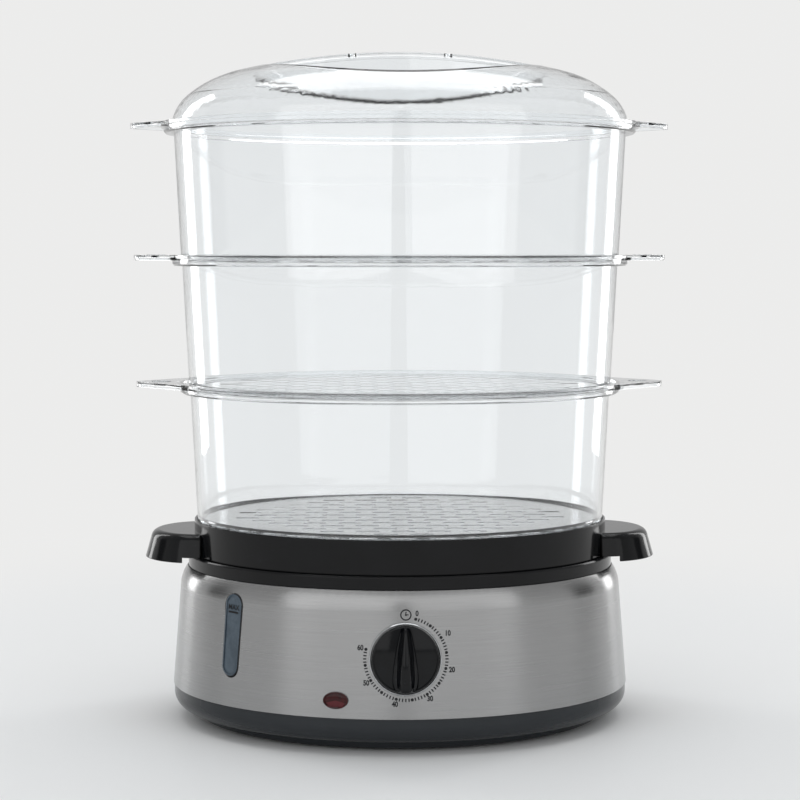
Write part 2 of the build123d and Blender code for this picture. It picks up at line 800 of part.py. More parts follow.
with BuildPart() as timer_screws:
    with BuildSketch(dial_plane.offset(screw_seat)):
        with Locations(*timer_screw_places):
            Circle(timer_screw_head_radius)
    extrude(amount=timer_screw_head_height)
    with BuildSketch(dial_plane.offset(screw_seat)):
        with Locations(*timer_screw_places):
            Circle(timer_screw_radius)
    extrude(amount=plate_front - timer_plate_thickness - screw_seat)
timer_screws.part.label = "timer_screws"

# ------------------------------------------------------------------ dial ring, shaft and knob
with BuildPart() as dial_bezel:
    with BuildSketch(dial_plane.offset(-skirt_depth)):
        Circle(bezel_outer_radius)
        Circle(bezel_inner_radius, mode=Mode.SUBTRACT)
    extrude(amount=skirt_depth + bezel_height)
    chamfer(dial_bezel.faces().sort_by(Axis(dial_plane.origin, dial_plane.z_dir))[-1].edges(), bezel_edge)
    add(band_block.part, mode=Mode.SUBTRACT)
dial_bezel.part.label = "dial_bezel"

with BuildPart() as timer_shaft:
    with BuildSketch(dial_plane.offset(can_front - timer_shaft_depth)):
        Circle(shaft_radius)
    extrude(amount=timer_shaft_depth - can_front + knob_lift)
    with BuildSketch(dial_plane.offset(knob_lift)):
        Circle(shaft_radius)
        with Locations((0, shaft_flat)):
            Rectangle(2 * shaft_radius, shaft_radius, align=(Align.CENTER, Align.MIN), mode=Mode.SUBTRACT)
    extrude(amount=shaft_reach - knob_lift)
timer_shaft.part.label = "timer_shaft"

# Pressed-dish knob with a teardrop grip whose thin end is the pointer.
with BuildPart() as knob:
    disc_top = knob_lift + knob_disc_thickness
    dish = disc_top - knob_dish_depth
    with BuildSketch(turning_plane(dial_plane)):
        with BuildLine():
            Polyline(
                (0, knob_lift),
                (knob_radius, knob_lift),
                (knob_radius, disc_top - knob_edge_radius),
                (knob_radius - knob_edge_radius, disc_top),
                (knob_radius - knob_rim_width, disc_top),
                (knob_radius - knob_rim_width - knob_rim_slope, dish),
                (0, dish),
                close=True,
            )
        make_face()
    revolve(axis=Axis(dial_plane.origin, dial_plane.z_dir))
    with BuildSketch(dial_plane.offset(dish)):
        tapered_slot(knob_pointer_radius, knob_pointer_reach, knob_heel_radius, knob_heel_reach)
    extrude(amount=knob_grip_height + knob_dish_depth, taper=knob_grip_draft)
    grip_top = knob.faces().sort_by(Axis(dial_plane.origin, dial_plane.z_dir))[-1]
    fillet(grip_top.edges(), knob_edge_radius)
    with BuildSketch(dial_plane.offset(knob_lift)):
        Circle(shaft_radius + fixed_gap)
        with Locations((0, shaft_flat + fixed_gap)):
            Rectangle(3 * shaft_radius, shaft_radius, align=(Align.CENTER, Align.MIN), mode=Mode.SUBTRACT)
    extrude(amount=shaft_reach - knob_lift + fixed_gap, mode=Mode.SUBTRACT)
    with BuildSketch(dial_plane.offset(knob_lift)):
        Circle(knob_radius - knob_rim_width)
        Circle(knob_hub_radius, mode=Mode.SUBTRACT)
    extrude(amount=dish - knob_lift - knob_skin, mode=Mode.SUBTRACT)
knob.part.label = "knob"

# ------------------------------------------------------------------ neon light
# Oval red lens with a sleeve behind it, and the glass lamp pushed into the sleeve.
with BuildPart() as neon_lens:
    with BuildSketch(neon_plane.offset(-skirt_depth)):
        Ellipse(neon_lens_half_width, neon_lens_half_height)
    extrude(amount=skirt_depth + neon_lens_proud)
    lens_face = neon_lens.faces().sort_by(Axis(neon_plane.origin, neon_plane.z_dir))[-1]
    fillet(lens_face.edges(), neon_lens_edge_radius)
    add(band_block.part, mode=Mode.SUBTRACT)
    with BuildSketch(neon_plane.offset(-neon_sleeve_length)):
        Ellipse(neon_sleeve_half_width, neon_sleeve_half_height)
    extrude(amount=neon_sleeve_length + neon_lens_proud / 2)
    with BuildSketch(neon_plane.offset(-neon_sleeve_length)):
        Circle(neon_lamp_radius + fixed_gap)
    extrude(amount=neon_lamp_length + fixed_gap, mode=Mode.SUBTRACT)
neon_lens.part.label = "neon_lens"

with BuildPart() as neon_lamp:
    with BuildSketch(neon_plane.offset(-neon_sleeve_length)):
        Circle(neon_lamp_radius)
    extrude(amount=neon_lamp_length)
    lamp_tip = neon_lamp.faces().sort_by(Axis(neon_plane.origin, neon_plane.z_dir))[-1]
    fillet(lamp_tip.edges(), neon_lamp_tip_radius)
neon_lamp.part.label = "neon_lamp"

# ------------------------------------------------------------------ water window
with BuildPart() as window_lens:
    with BuildSketch(window_plane.offset(window_proud - window_thickness)):
        window_outline(0)
    extrude(amount=window_thickness)
    window_face = window_lens.faces().sort_by(Axis(window_plane.origin, window_plane.z_dir))[-1]
    chamfer(window_face.edges(), window_proud)
window_lens.part.label = "window_lens"

with BuildPart() as window_gasket:
    gasket_front = window_proud - window_thickness - fixed_gap
    with BuildSketch(window_plane.offset(-skirt_depth + fixed_gap)):
        window_outline(0)
    extrude(amount=gasket_front + skirt_depth - fixed_gap)
    with BuildSketch(window_plane.offset(-skirt_depth)):
        window_outline(-gasket_width)
    extrude(amount=skirt_depth, mode=Mode.SUBTRACT)
window_gasket.part.label = "window_gasket"

# ------------------------------------------------------------------ mains entry
# The cord's gland in the back and the block its wires end in; the cord itself isn't part of this.
with BuildPart() as cord_gland:
    gland_end = -skirt_depth - seat_gap - gland_nut_thickness - gland_thread_reach
    with BuildSketch(turning_plane(gland_plane)):
        with BuildLine():
            Polyline(
                (cord_bore_radius, gland_end),
                (gland_body_radius, gland_end),
                (gland_body_radius, fixed_gap),
                (gland_flange_radius, fixed_gap),
                (gland_flange_radius, gland_flange_thickness / 2),
                (gland_body_radius, gland_flange_thickness),
                (cord_bore_radius, gland_flange_thickness),
                close=True,
            )
        make_face()
    revolve(axis=Axis(gland_plane.origin, gland_plane.z_dir))
cord_gland.part.label = "cord_gland"

with BuildPart() as gland_nut:
    with BuildSketch(gland_plane.offset(-skirt_depth - seat_gap - gland_nut_thickness)):
        RegularPolygon(gland_nut_radius, 6)
        Circle(gland_body_radius + fixed_gap, mode=Mode.SUBTRACT)
    extrude(amount=gland_nut_thickness)
gland_nut.part.label = "gland_nut"

with BuildPart() as terminal_block:
    block_bottom = cover_floor_top + fixed_gap
    block_middle = (terminal_block_x, terminal_block_y)
    with BuildSketch(Plane.XY.offset(block_bottom)):
        with Locations(block_middle):
            RectangleRounded(terminal_block_length, terminal_block_width, terminal_block_corner)
    extrude(amount=terminal_block_height)
    with BuildSketch(Plane.XY.offset(block_bottom + terminal_block_height)):
        with Locations(block_middle):
            with GridLocations(terminal_pole_pitch, terminal_row_spacing, 3, 2):
                Circle(terminal_screw_radius + fixed_gap)
    extrude(amount=-terminal_screw_height - terminal_screw_recess, mode=Mode.SUBTRACT)
terminal_block.part.label = "terminal_block"

with BuildPart() as terminal_screws:
    block_top = block_bottom + terminal_block_height
    screw_bottom = block_top - terminal_screw_recess - terminal_screw_height + fixed_gap
    with BuildSketch(Plane.XY.offset(screw_bottom)):
        with Locations(block_middle):
            with GridLocations(terminal_pole_pitch, terminal_row_spacing, 3, 2):
                Circle(terminal_screw_radius)
    extrude(amount=terminal_screw_height)
terminal_screws.part.label = "terminal_screws"

# ------------------------------------------------------------------ drip tray
# Black tray with a ledge for the lowest basket, a steam chimney, and a handle at each side.
def make_handle(inset, edge_radius):
    """Grip at the tray's right side: a drafted half oval with a round top edge, or its room inside."""
    top = handle_top - inset
    with BuildPart() as grip:
        with BuildSketch(Plane.XY.offset(handle_bottom)):
            with Locations((handle_oval_centre, 0)):
                Ellipse(handle_tip - handle_oval_centre - inset, handle_half_width - inset)
        extrude(amount=top - handle_bottom, taper=handle_draft)
        fillet(grip.edges().group_by(Axis.Z)[-1], edge_radius)
    return grip


with BuildPart() as handle:
    add(make_handle(0, handle_edge_radius).part)
    with BuildSketch(Plane.XZ.offset(-handle_half_width)):
        with BuildLine():
            Polyline(
                (handle_tip, handle_bottom),
                (handle_clear_of_rim, handle_bottom),
                (handle_clear_of_rim, tray_foot_height),
                (handle_root, tray_foot_height),
                (handle_root, handle_top),
                (handle_tip, handle_top),
                close=True,
            )
        make_face()
    extrude(amount=2 * handle_half_width, mode=Mode.INTERSECT)

with BuildPart() as handle_hollow:
    add(make_handle(handle_wall, handle_edge_radius - handle_wall).part)
    split(bisect_by=Plane.YZ.offset(handle_clear_of_rim), keep=Keep.TOP)

with BuildPart() as drip_tray:
    floor_underside = tray_floor_height - tray_wall
    under_ledge = tray_ledge_height - tray_wall
    chimney_top_radius = tray_wall / 2
    with BuildSketch(Plane.XZ):
        with BuildLine():
            chimney_foot = Polyline(
                (tray_foot_half_width, tray_foot_height),
                (tray_lip_half_width, tray_lip_top),
                (tray_lip_inner_half_width, tray_lip_top),
                (tray_lip_inner_half_width, tray_ledge_height),
                (tray_ledge_inner_half_width, tray_ledge_height),
                (tray_floor_half_width, tray_floor_height + tray_gutter_corner),
                (tray_floor_half_width - tray_gutter_corner, tray_floor_height),
                (tray_chimney_half_width + tray_gutter_corner, tray_floor_height),
                (tray_chimney_half_width, tray_floor_height + tray_gutter_corner),
                (tray_chimney_half_width, tray_chimney_top - chimney_top_radius),
            )
            chimney_lip = JernArc(chimney_foot @ 1, (0, 1), chimney_top_radius, 180)
            Polyline(
                chimney_lip @ 1,
                (tray_chimney_half_width - tray_wall, floor_underside),
                (tray_floor_half_width - tray_gutter_corner + tray_wall / 2, floor_underside),
                (tray_floor_half_width + tray_wall, tray_floor_height + tray_gutter_corner / 2),
                (tray_ledge_inner_half_width + tray_wall, under_ledge),
                (tray_lip_half_width - tray_wall, under_ledge),
                (tray_foot_half_width - tray_wall, tray_foot_height),
                (tray_foot_half_width, tray_foot_height),
            )
        make_face()
    revolve(axis=Axis.Z)
    stretch_oval()
    add(handle.part)
    add(mirror(handle.part, about=Plane.YZ, mode=Mode.PRIVATE))
    add(handle_hollow.part, mode=Mode.SUBTRACT)
    add(mirror(handle_hollow.part, about=Plane.YZ, mode=Mode.PRIVATE), mode=Mode.SUBTRACT)
drip_tray.part.label = "drip_tray"


# ------------------------------------------------------------------ baskets
def basket_wall_sizes(tier):
    """Foot height, foot half-width and half-width under the collar of a basket; tier 0 is the lowest."""
    if tier == 0:
        foot_height = tray_ledge_height + seat_gap
        foot_half_width = tray_lip_inner_half_width - basket_tray_gap
    else:
        lower_foot, _, lower_half_width = basket_wall_sizes(tier - 1)
        foot_height = lower_foot + basket_heights[tier - 1] + collar_wall + seat_gap
        foot_half_width = lower_half_width + basket_tier_step
    collar_half_width = foot_half_width + basket_draft * basket_heights[tier]
    return foot_height, foot_half_width, collar_half_width


def floor_slot_places(half_width):
    """Slots in staggered rows, as many as fit inside an oval of this half-width."""
    rows = int(half_width * depth_ratio / floor_slot_pitch_y)
    columns = int(half_width / floor_slot_pitch_x)
    places = []
    for row in range(-rows, rows + 1):
        y = row * floor_slot_pitch_y
        shift = floor_slot_pitch_x / 2 if row % 2 else 0
        for column in range(-columns, columns + 1):
            x = column * floor_slot_pitch_x + shift
            reach_x = abs(x) + floor_slot_length / 2
            reach_y = abs(y) + floor_slot_width / 2
            if (reach_x / half_width) ** 2 + (reach_y / half_width / depth_ratio) ** 2 < 1:
                places.append((x, y))
    return places


def make_basket(tier):
    """One clear basket: slotted floor, drafted wall, collar for the basket or lid above, two ears."""
    foot, foot_half_width, top_half_width = basket_wall_sizes(tier)
    collar = foot + basket_heights[tier]
    rim = collar + collar_depth
    collar_outside = top_half_width + collar_overhang
    collar_inside = collar_outside - collar_wall
    floor_top = foot + basket_floor_thickness
    plate_half_width = foot_half_width - floor_margin
    with BuildPart() as basket:
        with BuildSketch(Plane.XZ):
            with BuildLine():
                under = Line((plate_half_width, foot), (foot_half_width - basket_corner_radius, foot))
                corner = JernArc(under @ 1, (1, 0), basket_corner_radius, 90)
                Polyline(
                    corner @ 1,
                    (top_half_width, collar),
                    (collar_outside - collar_edge, collar),
                    (collar_outside, collar + collar_edge),
                    (collar_outside, rim - flange_thickness),
                    (collar_outside + flange_overhang, rim - flange_thickness),
                    (collar_outside + flange_overhang, rim),
                    (collar_inside, rim),
                    (collar_inside, collar + collar_wall),
                    (top_half_width - basket_wall, collar + collar_wall),
                    (foot_half_width - basket_wall, floor_top + basket_corner_radius),
                    (foot_half_width - basket_wall - basket_corner_radius, floor_top),
                    (plate_half_width, floor_top),
                    (plate_half_width, foot),
                )
            make_face()
        revolve(axis=Axis.Z)
        slot_places = [(x, before_stretch(y)) for x, y in floor_slot_places(plate_half_width)]
        with BuildSketch(Plane.XY.offset(foot)):
            Circle(plate_half_width)
            with Locations(*slot_places):
                Rectangle(floor_slot_length, before_stretch(floor_slot_width), mode=Mode.SUBTRACT)
        extrude(amount=basket_floor_thickness)
        stretch_oval()
        # pointed ears, hollow underneath inside a border
        tip_to_apex = ear_tip_radius * (1 / sin(radians(ear_half_angle)) - 1)
        apex = collar_outside + flange_overhang + ear_reaches[tier] + tip_to_apex
        root = top_half_width * cos(radians(ear_half_angle / 2))
        slope = sin(radians(ear_half_angle)) / cos(radians(ear_half_angle))
        ear_inside = collar_inside + fixed_gap
        with BuildSketch(Plane.XY.offset(rim)) as ear_outline:
            with BuildLine():
                Polyline(
                    (root, -slope * (apex - root)), (apex, 0), (root, slope * (apex - root)), close=True
                )
            make_face()
            fillet(ear_outline.vertices().sort_by(Axis.X)[-1], ear_tip_radius)
            mirror(about=Plane.YZ)
            Ellipse(ear_inside, ear_inside * depth_ratio, mode=Mode.SUBTRACT)
        extrude(amount=-ear_thickness)
        hollow_apex = apex - ear_border / sin(radians(ear_half_angle))
        wall_clear = collar_outside + flange_overhang
        with BuildSketch(Plane.XY.offset(rim - ear_thickness)) as ear_hollow:
            with BuildLine():
                Polyline(
                    (root, -slope * (hollow_apex - root)),
                    (hollow_apex, 0),
                    (root, slope * (hollow_apex - root)),
                    close=True,
                )
            make_face()
            fillet(ear_hollow.vertices().sort_by(Axis.X)[-1], ear_tip_radius - ear_border)
            mirror(about=Plane.YZ)
            Ellipse(wall_clear, wall_clear * depth_ratio, mode=Mode.SUBTRACT)
        extrude(amount=ear_hollow_depth, mode=Mode.SUBTRACT)
    basket.part.label = f"basket_{tier + 1}"
    return basket


baskets = [make_basket(tier) for tier in range(3)]


# ------------------------------------------------------------------ lid
top_foot, _, top_collar_half_width = basket_wall_sizes(2)
lid_foot = top_foot + basket_heights[2] + collar_wall + seat_gap
lid_top = lid_foot + lid_height
lid_rim_half_width = top_collar_half_width + collar_overhang - collar_wall - lid_rim_gap
scoop_floor_height = lid_top - scoop_depth
brow_reach = brow_radius * (sin(radians(brow_end_slope)) - sin(radians(crown_end_slope)))
shoulder_reach = lid_shoulder_radius * (1 - sin(radians(brow_end_slope)))
crown_radius = (lid_rim_half_width - brow_reach - shoulder_reach) / sin(radians(crown_end_slope))


def make_dome(inset):
    """The lid's closed outer form, or with an inset the room inside it, both with the two scoops."""
    slope_change = brow_end_slope - crown_end_slope
    with BuildPart() as dome:
        with BuildSketch(Plane.XZ):
            with BuildLine():
                crown = CenterArc((0, lid_top - crown_radius), crown_radius - inset, 90, -crown_end_slope)
                brow = JernArc(crown @ 1, crown % 1, brow_radius - inset, -slope_change)
                shoulder = JernArc(
                    brow @ 1, brow % 1, lid_shoulder_radius - inset, brow_end_slope - 90
                )
                below = (shoulder @ 1).Y - lid_height
                Polyline(shoulder @ 1, ((shoulder @ 1).X, below), (0, below), crown @ 0)
            make_face()
        revolve(axis=Axis.Z)
        rise = radians(scoop_rise)
        for side in (-1, 1):
            outward = Vector(0, side * cos(rise), sin(rise))
            upward = Vector(0, -side * sin(rise), cos(rise))
            scoop_foot = Vector(0, side * before_stretch(grip_half_thickness - inset), scoop_floor_height)
            scoop_centre = scoop_foot + upward * scoop_radius
            with BuildSketch(Plane(origin=scoop_centre, x_dir=(1, 0, 0), z_dir=outward)):
                Circle(scoop_radius + inset)
            extrude(amount=scoop_length, mode=Mode.SUBTRACT)
    return dome


with BuildPart() as lid:
    add(make_dome(0).part)
    add(make_dome(lid_wall).part, mode=Mode.SUBTRACT)
    split(bisect_by=Plane.XY.offset(lid_foot), keep=Keep.TOP)
    stretch_oval()
    with BuildSketch(Plane.XY.offset(scoop_floor_height)):
        with Locations((-lid_vent_x, 0), (lid_vent_x, 0)):
            Circle(lid_vent_radius)
    extrude(amount=lid_top - scoop_floor_height, mode=Mode.SUBTRACT)
lid.part.label = "lid"

# ------------------------------------------------------------------ one file for each piece
pieces = [
    bottom_cover,
    rubber_feet,
    case_screws,
    housing,
    water_tank,
    steel_band,
    heater_plate,
    heater_seal,
    heater_screws,
    heating_element,
    thermostat,
    thermal_fuse,
    steam_ring,
    timer_plate,
    timer_can,
    timer_bell,
    timer_screws,
    dial_bezel,
    timer_shaft,
    knob,
    neon_lens,
    neon_lamp,
    window_lens,
    window_gasket,
    cord_gland,
    gland_nut,
    terminal_block,
    terminal_screws,
    drip_tray,
    *baskets,
    lid,
]
for piece in pieces:
    export_step(piece.part, f"parts/{piece.part.label}.step")
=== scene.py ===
import math

import bpy
from mathutils import Matrix, Vector


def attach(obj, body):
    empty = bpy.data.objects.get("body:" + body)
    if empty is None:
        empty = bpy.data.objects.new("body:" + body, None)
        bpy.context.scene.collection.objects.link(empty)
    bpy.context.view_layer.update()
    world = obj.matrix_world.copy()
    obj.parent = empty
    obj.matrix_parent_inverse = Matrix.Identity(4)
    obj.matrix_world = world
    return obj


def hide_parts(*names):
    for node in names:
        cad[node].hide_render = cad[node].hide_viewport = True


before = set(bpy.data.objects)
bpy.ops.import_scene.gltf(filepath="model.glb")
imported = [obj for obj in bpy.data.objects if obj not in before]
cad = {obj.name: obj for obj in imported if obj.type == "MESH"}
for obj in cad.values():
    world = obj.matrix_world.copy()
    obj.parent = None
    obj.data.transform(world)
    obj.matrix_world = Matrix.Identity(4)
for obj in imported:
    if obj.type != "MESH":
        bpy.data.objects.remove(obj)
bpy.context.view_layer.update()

bpy.ops.object.select_all(action="DESELECT")
bpy.context.scene.view_settings.view_transform = "Standard"


# ---------------------------------------------------------------- worktop, room and lamps
# A pale laminate worktop that runs back into a pale room without an edge. Two wide soft lamps
# stand in front, one hangs above, and a narrow one behind each side draws the rims. Gloss
# surfaces see a greyer front wall and a dark doorway at each side.
def new_material(name):
    """A material with its node tree and its Principled shader."""
    made = bpy.data.materials.new(name)
    made.use_nodes = True
    return made, made.node_tree, made.node_tree.nodes["Principled BSDF"]


def add_node(tree, kind, **sockets):
    """A shader node with the named inputs set."""
    made = tree.nodes.new("ShaderNode" + kind)
    for socket, value in sockets.items():
        made.inputs[socket.replace("_", " ")].default_value = value
    return made


def add_math(tree, operation, first, second=0.0):
    """A Math node between two sockets or plain numbers, and its result."""
    made = tree.nodes.new("ShaderNodeMath")
    made.operation = operation
    for socket, value in zip(made.inputs, (first, second)):
        if isinstance(value, (int, float)):
            socket.default_value = value
        else:
            tree.links.new(value, socket)
    return made.outputs[0]


def own_coordinates(tree, stretch=(1, 1, 1)):
    """Object coordinates, stretched, for a pattern that stays on the piece."""
    where = tree.nodes.new("ShaderNodeTexCoord")
    placed = add_node(tree, "Mapping", Scale=stretch)
    tree.links.new(where.outputs["Object"], placed.inputs["Vector"])
    return placed.outputs["Vector"]


room_pale = (0.84, 0.84, 0.835, 1)
laminate, tree, shader = new_material("pale_laminate")
shader.inputs["Base Color"].default_value = (0.8, 0.8, 0.79, 1)
shader.inputs["Roughness"].default_value = 0.55
speckle = add_node(tree, "TexNoise", Scale=900.0)
tree.links.new(own_coordinates(tree), speckle.inputs["Vector"])
speckle_bump = add_node(tree, "Bump", Strength=0.05, Distance=0.0004)
tree.links.new(speckle.outputs["Fac"], speckle_bump.inputs["Height"])
tree.links.new(speckle_bump.outputs["Normal"], shader.inputs["Normal"])
far_glow = add_node(tree, "Emission", Color=room_pale, Strength=1.0)
distance_out = tree.nodes.new("ShaderNodeVectorMath")
distance_out.operation = "LENGTH"
tree.links.new(own_coordinates(tree), distance_out.inputs[0])
far_away = add_node(tree, "MapRange", From_Min=0.3, From_Max=0.8)
far_away.interpolation_type = "SMOOTHERSTEP"
tree.links.new(distance_out.outputs["Value"], far_away.inputs["Value"])
ray = tree.nodes.new("ShaderNodeLightPath")
looked_at = add_math(
    tree, "MAXIMUM", ray.outputs["Is Camera Ray"], ray.outputs["Is Transmission Ray"]
)
looked_at = add_math(tree, "MAXIMUM", looked_at, ray.outputs["Is Glossy Ray"])
far_and_seen = add_math(tree, "MULTIPLY", looked_at, far_away.outputs["Result"])
near_or_far = tree.nodes.new("ShaderNodeMixShader")
tree.links.new(far_and_seen, near_or_far.inputs["Fac"])
tree.links.new(shader.outputs["BSDF"], near_or_far.inputs[1])
tree.links.new(far_glow.outputs["Emission"], near_or_far.inputs[2])
tree.links.new(near_or_far.outputs["Shader"], tree.nodes["Material Output"].inputs["Surface"])

bpy.ops.mesh.primitive_plane_add(size=9, location=(0, 0, 0))
worktop = bpy.context.object
worktop.name = "worktop"
worktop.data.materials.append(laminate)

room = bpy.data.worlds.new("pale_room")
bpy.context.scene.world = room
room.use_nodes = True
tree = room.node_tree
tree.nodes.clear()
room_light = add_node(tree, "Background", Color=(0.93, 0.96, 1, 1), Strength=0.5)
room_seen = add_node(tree, "Background", Color=room_pale, Strength=1.0)
room_shine = tree.nodes.new("ShaderNodeBackground")
toward = tree.nodes.new("ShaderNodeTexCoord")
direction = tree.nodes.new("ShaderNodeSeparateXYZ")
tree.links.new(toward.outputs["Generated"], direction.inputs["Vector"])
to_the_side = add_math(tree, "ABSOLUTE", direction.outputs["X"])
to_the_front = add_math(tree, "MULTIPLY", direction.outputs["Y"], -1.0)
turn_from_front = add_math(tree, "ARCTAN2", to_the_side, to_the_front)
round_the_room = tree.nodes.new("ShaderNodeValToRGB")
tree.links.new(add_math(tree, "DIVIDE", turn_from_front, math.pi), round_the_room.inputs["Fac"])
walls = round_the_room.color_ramp.elements
walls[0].color = (0.5, 0.5, 0.5, 1)
walls[1].color = (0.8, 0.8, 0.8, 1)
for degrees, shade in ((36, 0.52), (44, 0.8), (90, 0.8), (95, 0.08), (109, 0.08), (114, 0.84)):
    walls.new(degrees / 180).color = (shade, shade, shade, 1)
upward = add_node(tree, "MapRange", From_Min=0.15, From_Max=0.55)
tree.links.new(direction.outputs["Z"], upward.inputs["Value"])
to_ceiling = tree.nodes.new("ShaderNodeMix")
to_ceiling.inputs["B"].default_value = 0.62
tree.links.new(upward.outputs["Result"], to_ceiling.inputs["Factor"])
tree.links.new(round_the_room.outputs["Color"], to_ceiling.inputs["A"])
tree.links.new(to_ceiling.outputs["Result"], room_shine.inputs["Strength"])
ray = tree.nodes.new("ShaderNodeLightPath")
looked_at = add_math(
    tree, "MAXIMUM", ray.outputs["Is Camera Ray"], ray.outputs["Is Transmission Ray"]
)
lit_or_shine = tree.nodes.new("ShaderNodeMixShader")
tree.links.new(ray.outputs["Is Glossy Ray"], lit_or_shine.inputs["Fac"])
tree.links.new(room_light.outputs[0], lit_or_shine.inputs[1])
tree.links.new(room_shine.outputs[0], lit_or_shine.inputs[2])
or_seen = tree.nodes.new("ShaderNodeMixShader")
tree.links.new(looked_at, or_seen.inputs["Fac"])
tree.links.new(lit_or_shine.outputs[0], or_seen.inputs[1])
tree.links.new(room_seen.outputs[0], or_seen.inputs[2])
room_output = tree.nodes.new("ShaderNodeOutputWorld")
tree.links.new(or_seen.outputs[0], room_output.inputs["Surface"])

for name, stands_at, looks_at, wide, high, watts in (
    ("lamp_left", (-0.86, -1.57, 0.78), (0, 0, 0.2), 1.8, 1.5, 7.4),
    ("lamp_right", (0.86, -1.57, 0.78), (0, 0, 0.2), 1.8, 1.5, 6.2),
    ("lamp_above", (0, 0.25, 2.0), (0, 0, 0.1), 1.9, 1.4, 17),
    ("strip_left", (-0.87, 0.68, 0.57), (0, 0, 0.57), 0.22, 1.1, 2.7),
    ("strip_right", (0.87, 0.68, 0.57), (0, 0, 0.57), 0.22, 1.1, 2.7),
):
    panel = bpy.data.lights.new(name, "AREA")
    panel.shape = "RECTANGLE"
    panel.size = wide
    panel.size_y = high
    panel.energy = watts
    lamp = bpy.data.objects.new(name, panel)
    bpy.context.scene.collection.objects.link(lamp)
    lamp.location = stands_at
    aim = Vector(looks_at) - Vector(stands_at)
    lamp.rotation_euler = aim.to_track_quat("-Z", "Y").to_euler()


# ---------------------------------------------------------------- camera
# A long lens a good metre in front and slightly to the left, a little above the baskets' middle.
# It looks down by about four degrees, so that the flanges' ovals open a little.
camera_turn = math.radians(-1.5)
camera_distance = 1.217
camera_height = 0.2755
camera_dip = 0.0728
focal_length = 92.52
lens = bpy.data.cameras.new("camera")
lens.lens = focal_length
camera = bpy.data.objects.new("camera", lens)
bpy.context.scene.collection.objects.link(camera)
camera.location = (
    camera_distance * math.sin(camera_turn),
    -camera_distance * math.cos(camera_turn),
    camera_height,
)
camera.rotation_euler = (math.pi / 2 - camera_dip, 0, camera_turn)
bpy.context.scene.camera = camera


# ---------------------------------------------------------------- rubber feet
# Four push-in feet of soft black rubber, moulded in one piece and a little dulled by dust. Each
# is held by the barb on its stem, pulled through a hole in the bottom cover.
def spread_tones(tree, shader, pattern, tones, half_spread):
    """Colour the piece from one tone to another as the pattern rises through its middle."""
    tone = tree.nodes.new("ShaderNodeValToRGB")
    for stop, side, colour in zip(tone.color_ramp.elements, (-1, 1), tones):
        stop.position = 0.5 + side * half_spread
        stop.color = (*colour, 1)
    tree.links.new(pattern, tone.inputs["Fac"])
    tree.links.new(tone.outputs["Color"], shader.inputs["Base Color"])


def spread_gloss(tree, shader, pattern, rough, starts=0.3, ends=0.7):
    """Take the roughness from one value to another as the pattern rises from start to end."""
    gloss = add_node(
        tree, "MapRange", From_Min=starts, From_Max=ends, To_Min=rough[0], To_Max=rough[1]
    )
    tree.links.new(pattern, gloss.inputs["Value"])
    tree.links.new(gloss.outputs["Result"], shader.inputs["Roughness"])


def finish_surface(tree, shader, tones, tone_scale, rough, grain_scale, grain_depth):
    """Two tones, a spread of roughness and a fine grain, all read from the piece's own place."""
    where = own_coordinates(tree)
    clouds = add_node(tree, "TexNoise", Scale=tone_scale, Detail=4.0, Roughness=0.6)
    tree.links.new(where, clouds.inputs["Vector"])
    spread_tones(tree, shader, clouds.outputs["Fac"], tones, 0.15)
    spread_gloss(tree, shader, clouds.outputs["Fac"], rough)
    grain = add_node(tree, "TexNoise", Scale=grain_scale, Detail=3.0)
    tree.links.new(where, grain.inputs["Vector"])
    relief = add_node(tree, "Bump", Strength=1.0, Distance=grain_depth)
    tree.links.new(grain.outputs["Fac"], relief.inputs["Height"])
    tree.links.new(relief.outputs["Normal"], shader.inputs["Normal"])
    return relief


def dress(material, *names):
    """Put a finish on CAD nodes, whose own meshes stay as they are."""
    for name in names:
        cad[name].data.materials.clear()
        cad[name].data.materials.append(material)


foot_rubber, tree, shader = new_material("foot_rubber")
finish_surface(
    tree, shader, tones=((0.022, 0.022, 0.023), (0.045, 0.044, 0.042)), tone_scale=260,
    rough=(0.75, 0.92), grain_scale=2400, grain_depth=0.00006,
)
dress(foot_rubber, "rubber_feet")


# ---------------------------------------------------------------- bottom cover
# A shallow dish of slate-grey polypropylene, moulded in a tool with a fine spark-eroded satin.
# It closes the base and is screwed up into the housing from below.
def soften_edges(tree, relief, radius):
    """Let light roll over the piece's edges as over the mould's small radius."""
    rounding = tree.nodes.new("ShaderNodeBevel")
    rounding.samples = 4
    rounding.inputs["Radius"].default_value = radius
    tree.links.new(rounding.outputs["Normal"], relief.inputs["Normal"])


slate_plastic, tree, shader = new_material("slate_plastic")
shader.inputs["Specular IOR Level"].default_value = 0.3
relief = finish_surface(
    tree, shader, tones=((0.019, 0.022, 0.025), (0.021, 0.024, 0.0275)), tone_scale=40,
    rough=(0.18, 0.22), grain_scale=3500, grain_depth=0.000003,
)
soften_edges(tree, relief, 0.0008)
dress(slate_plastic, "bottom_cover")


# ---------------------------------------------------------------- case screws
# Four zinc-plated steel screws with pan heads and a cross recess, their threads rolled. They are
# driven up through the bottom cover into the housing's bosses.
def choose_faces(piece, test):
    """Select the faces whose centre and normal pass the test, and leave the piece in edit mode."""
    if piece.mode != "OBJECT":
        bpy.ops.object.mode_set(mode="OBJECT")
    for point in piece.data.vertices:
        point.select = False
    for edge in piece.data.edges:
        edge.select = False
    for face in piece.data.polygons:
        face.select = bool(test(face.center, face.normal))
    bpy.ops.object.mode_set(mode="EDIT")
    bpy.ops.mesh.select_mode(type="FACE")


def pick(piece):
    """Make a piece the only one selected, and the active one."""
    bpy.ops.object.select_all(action="DESELECT")
    piece.select_set(True)
    bpy.context.view_layer.objects.active = piece


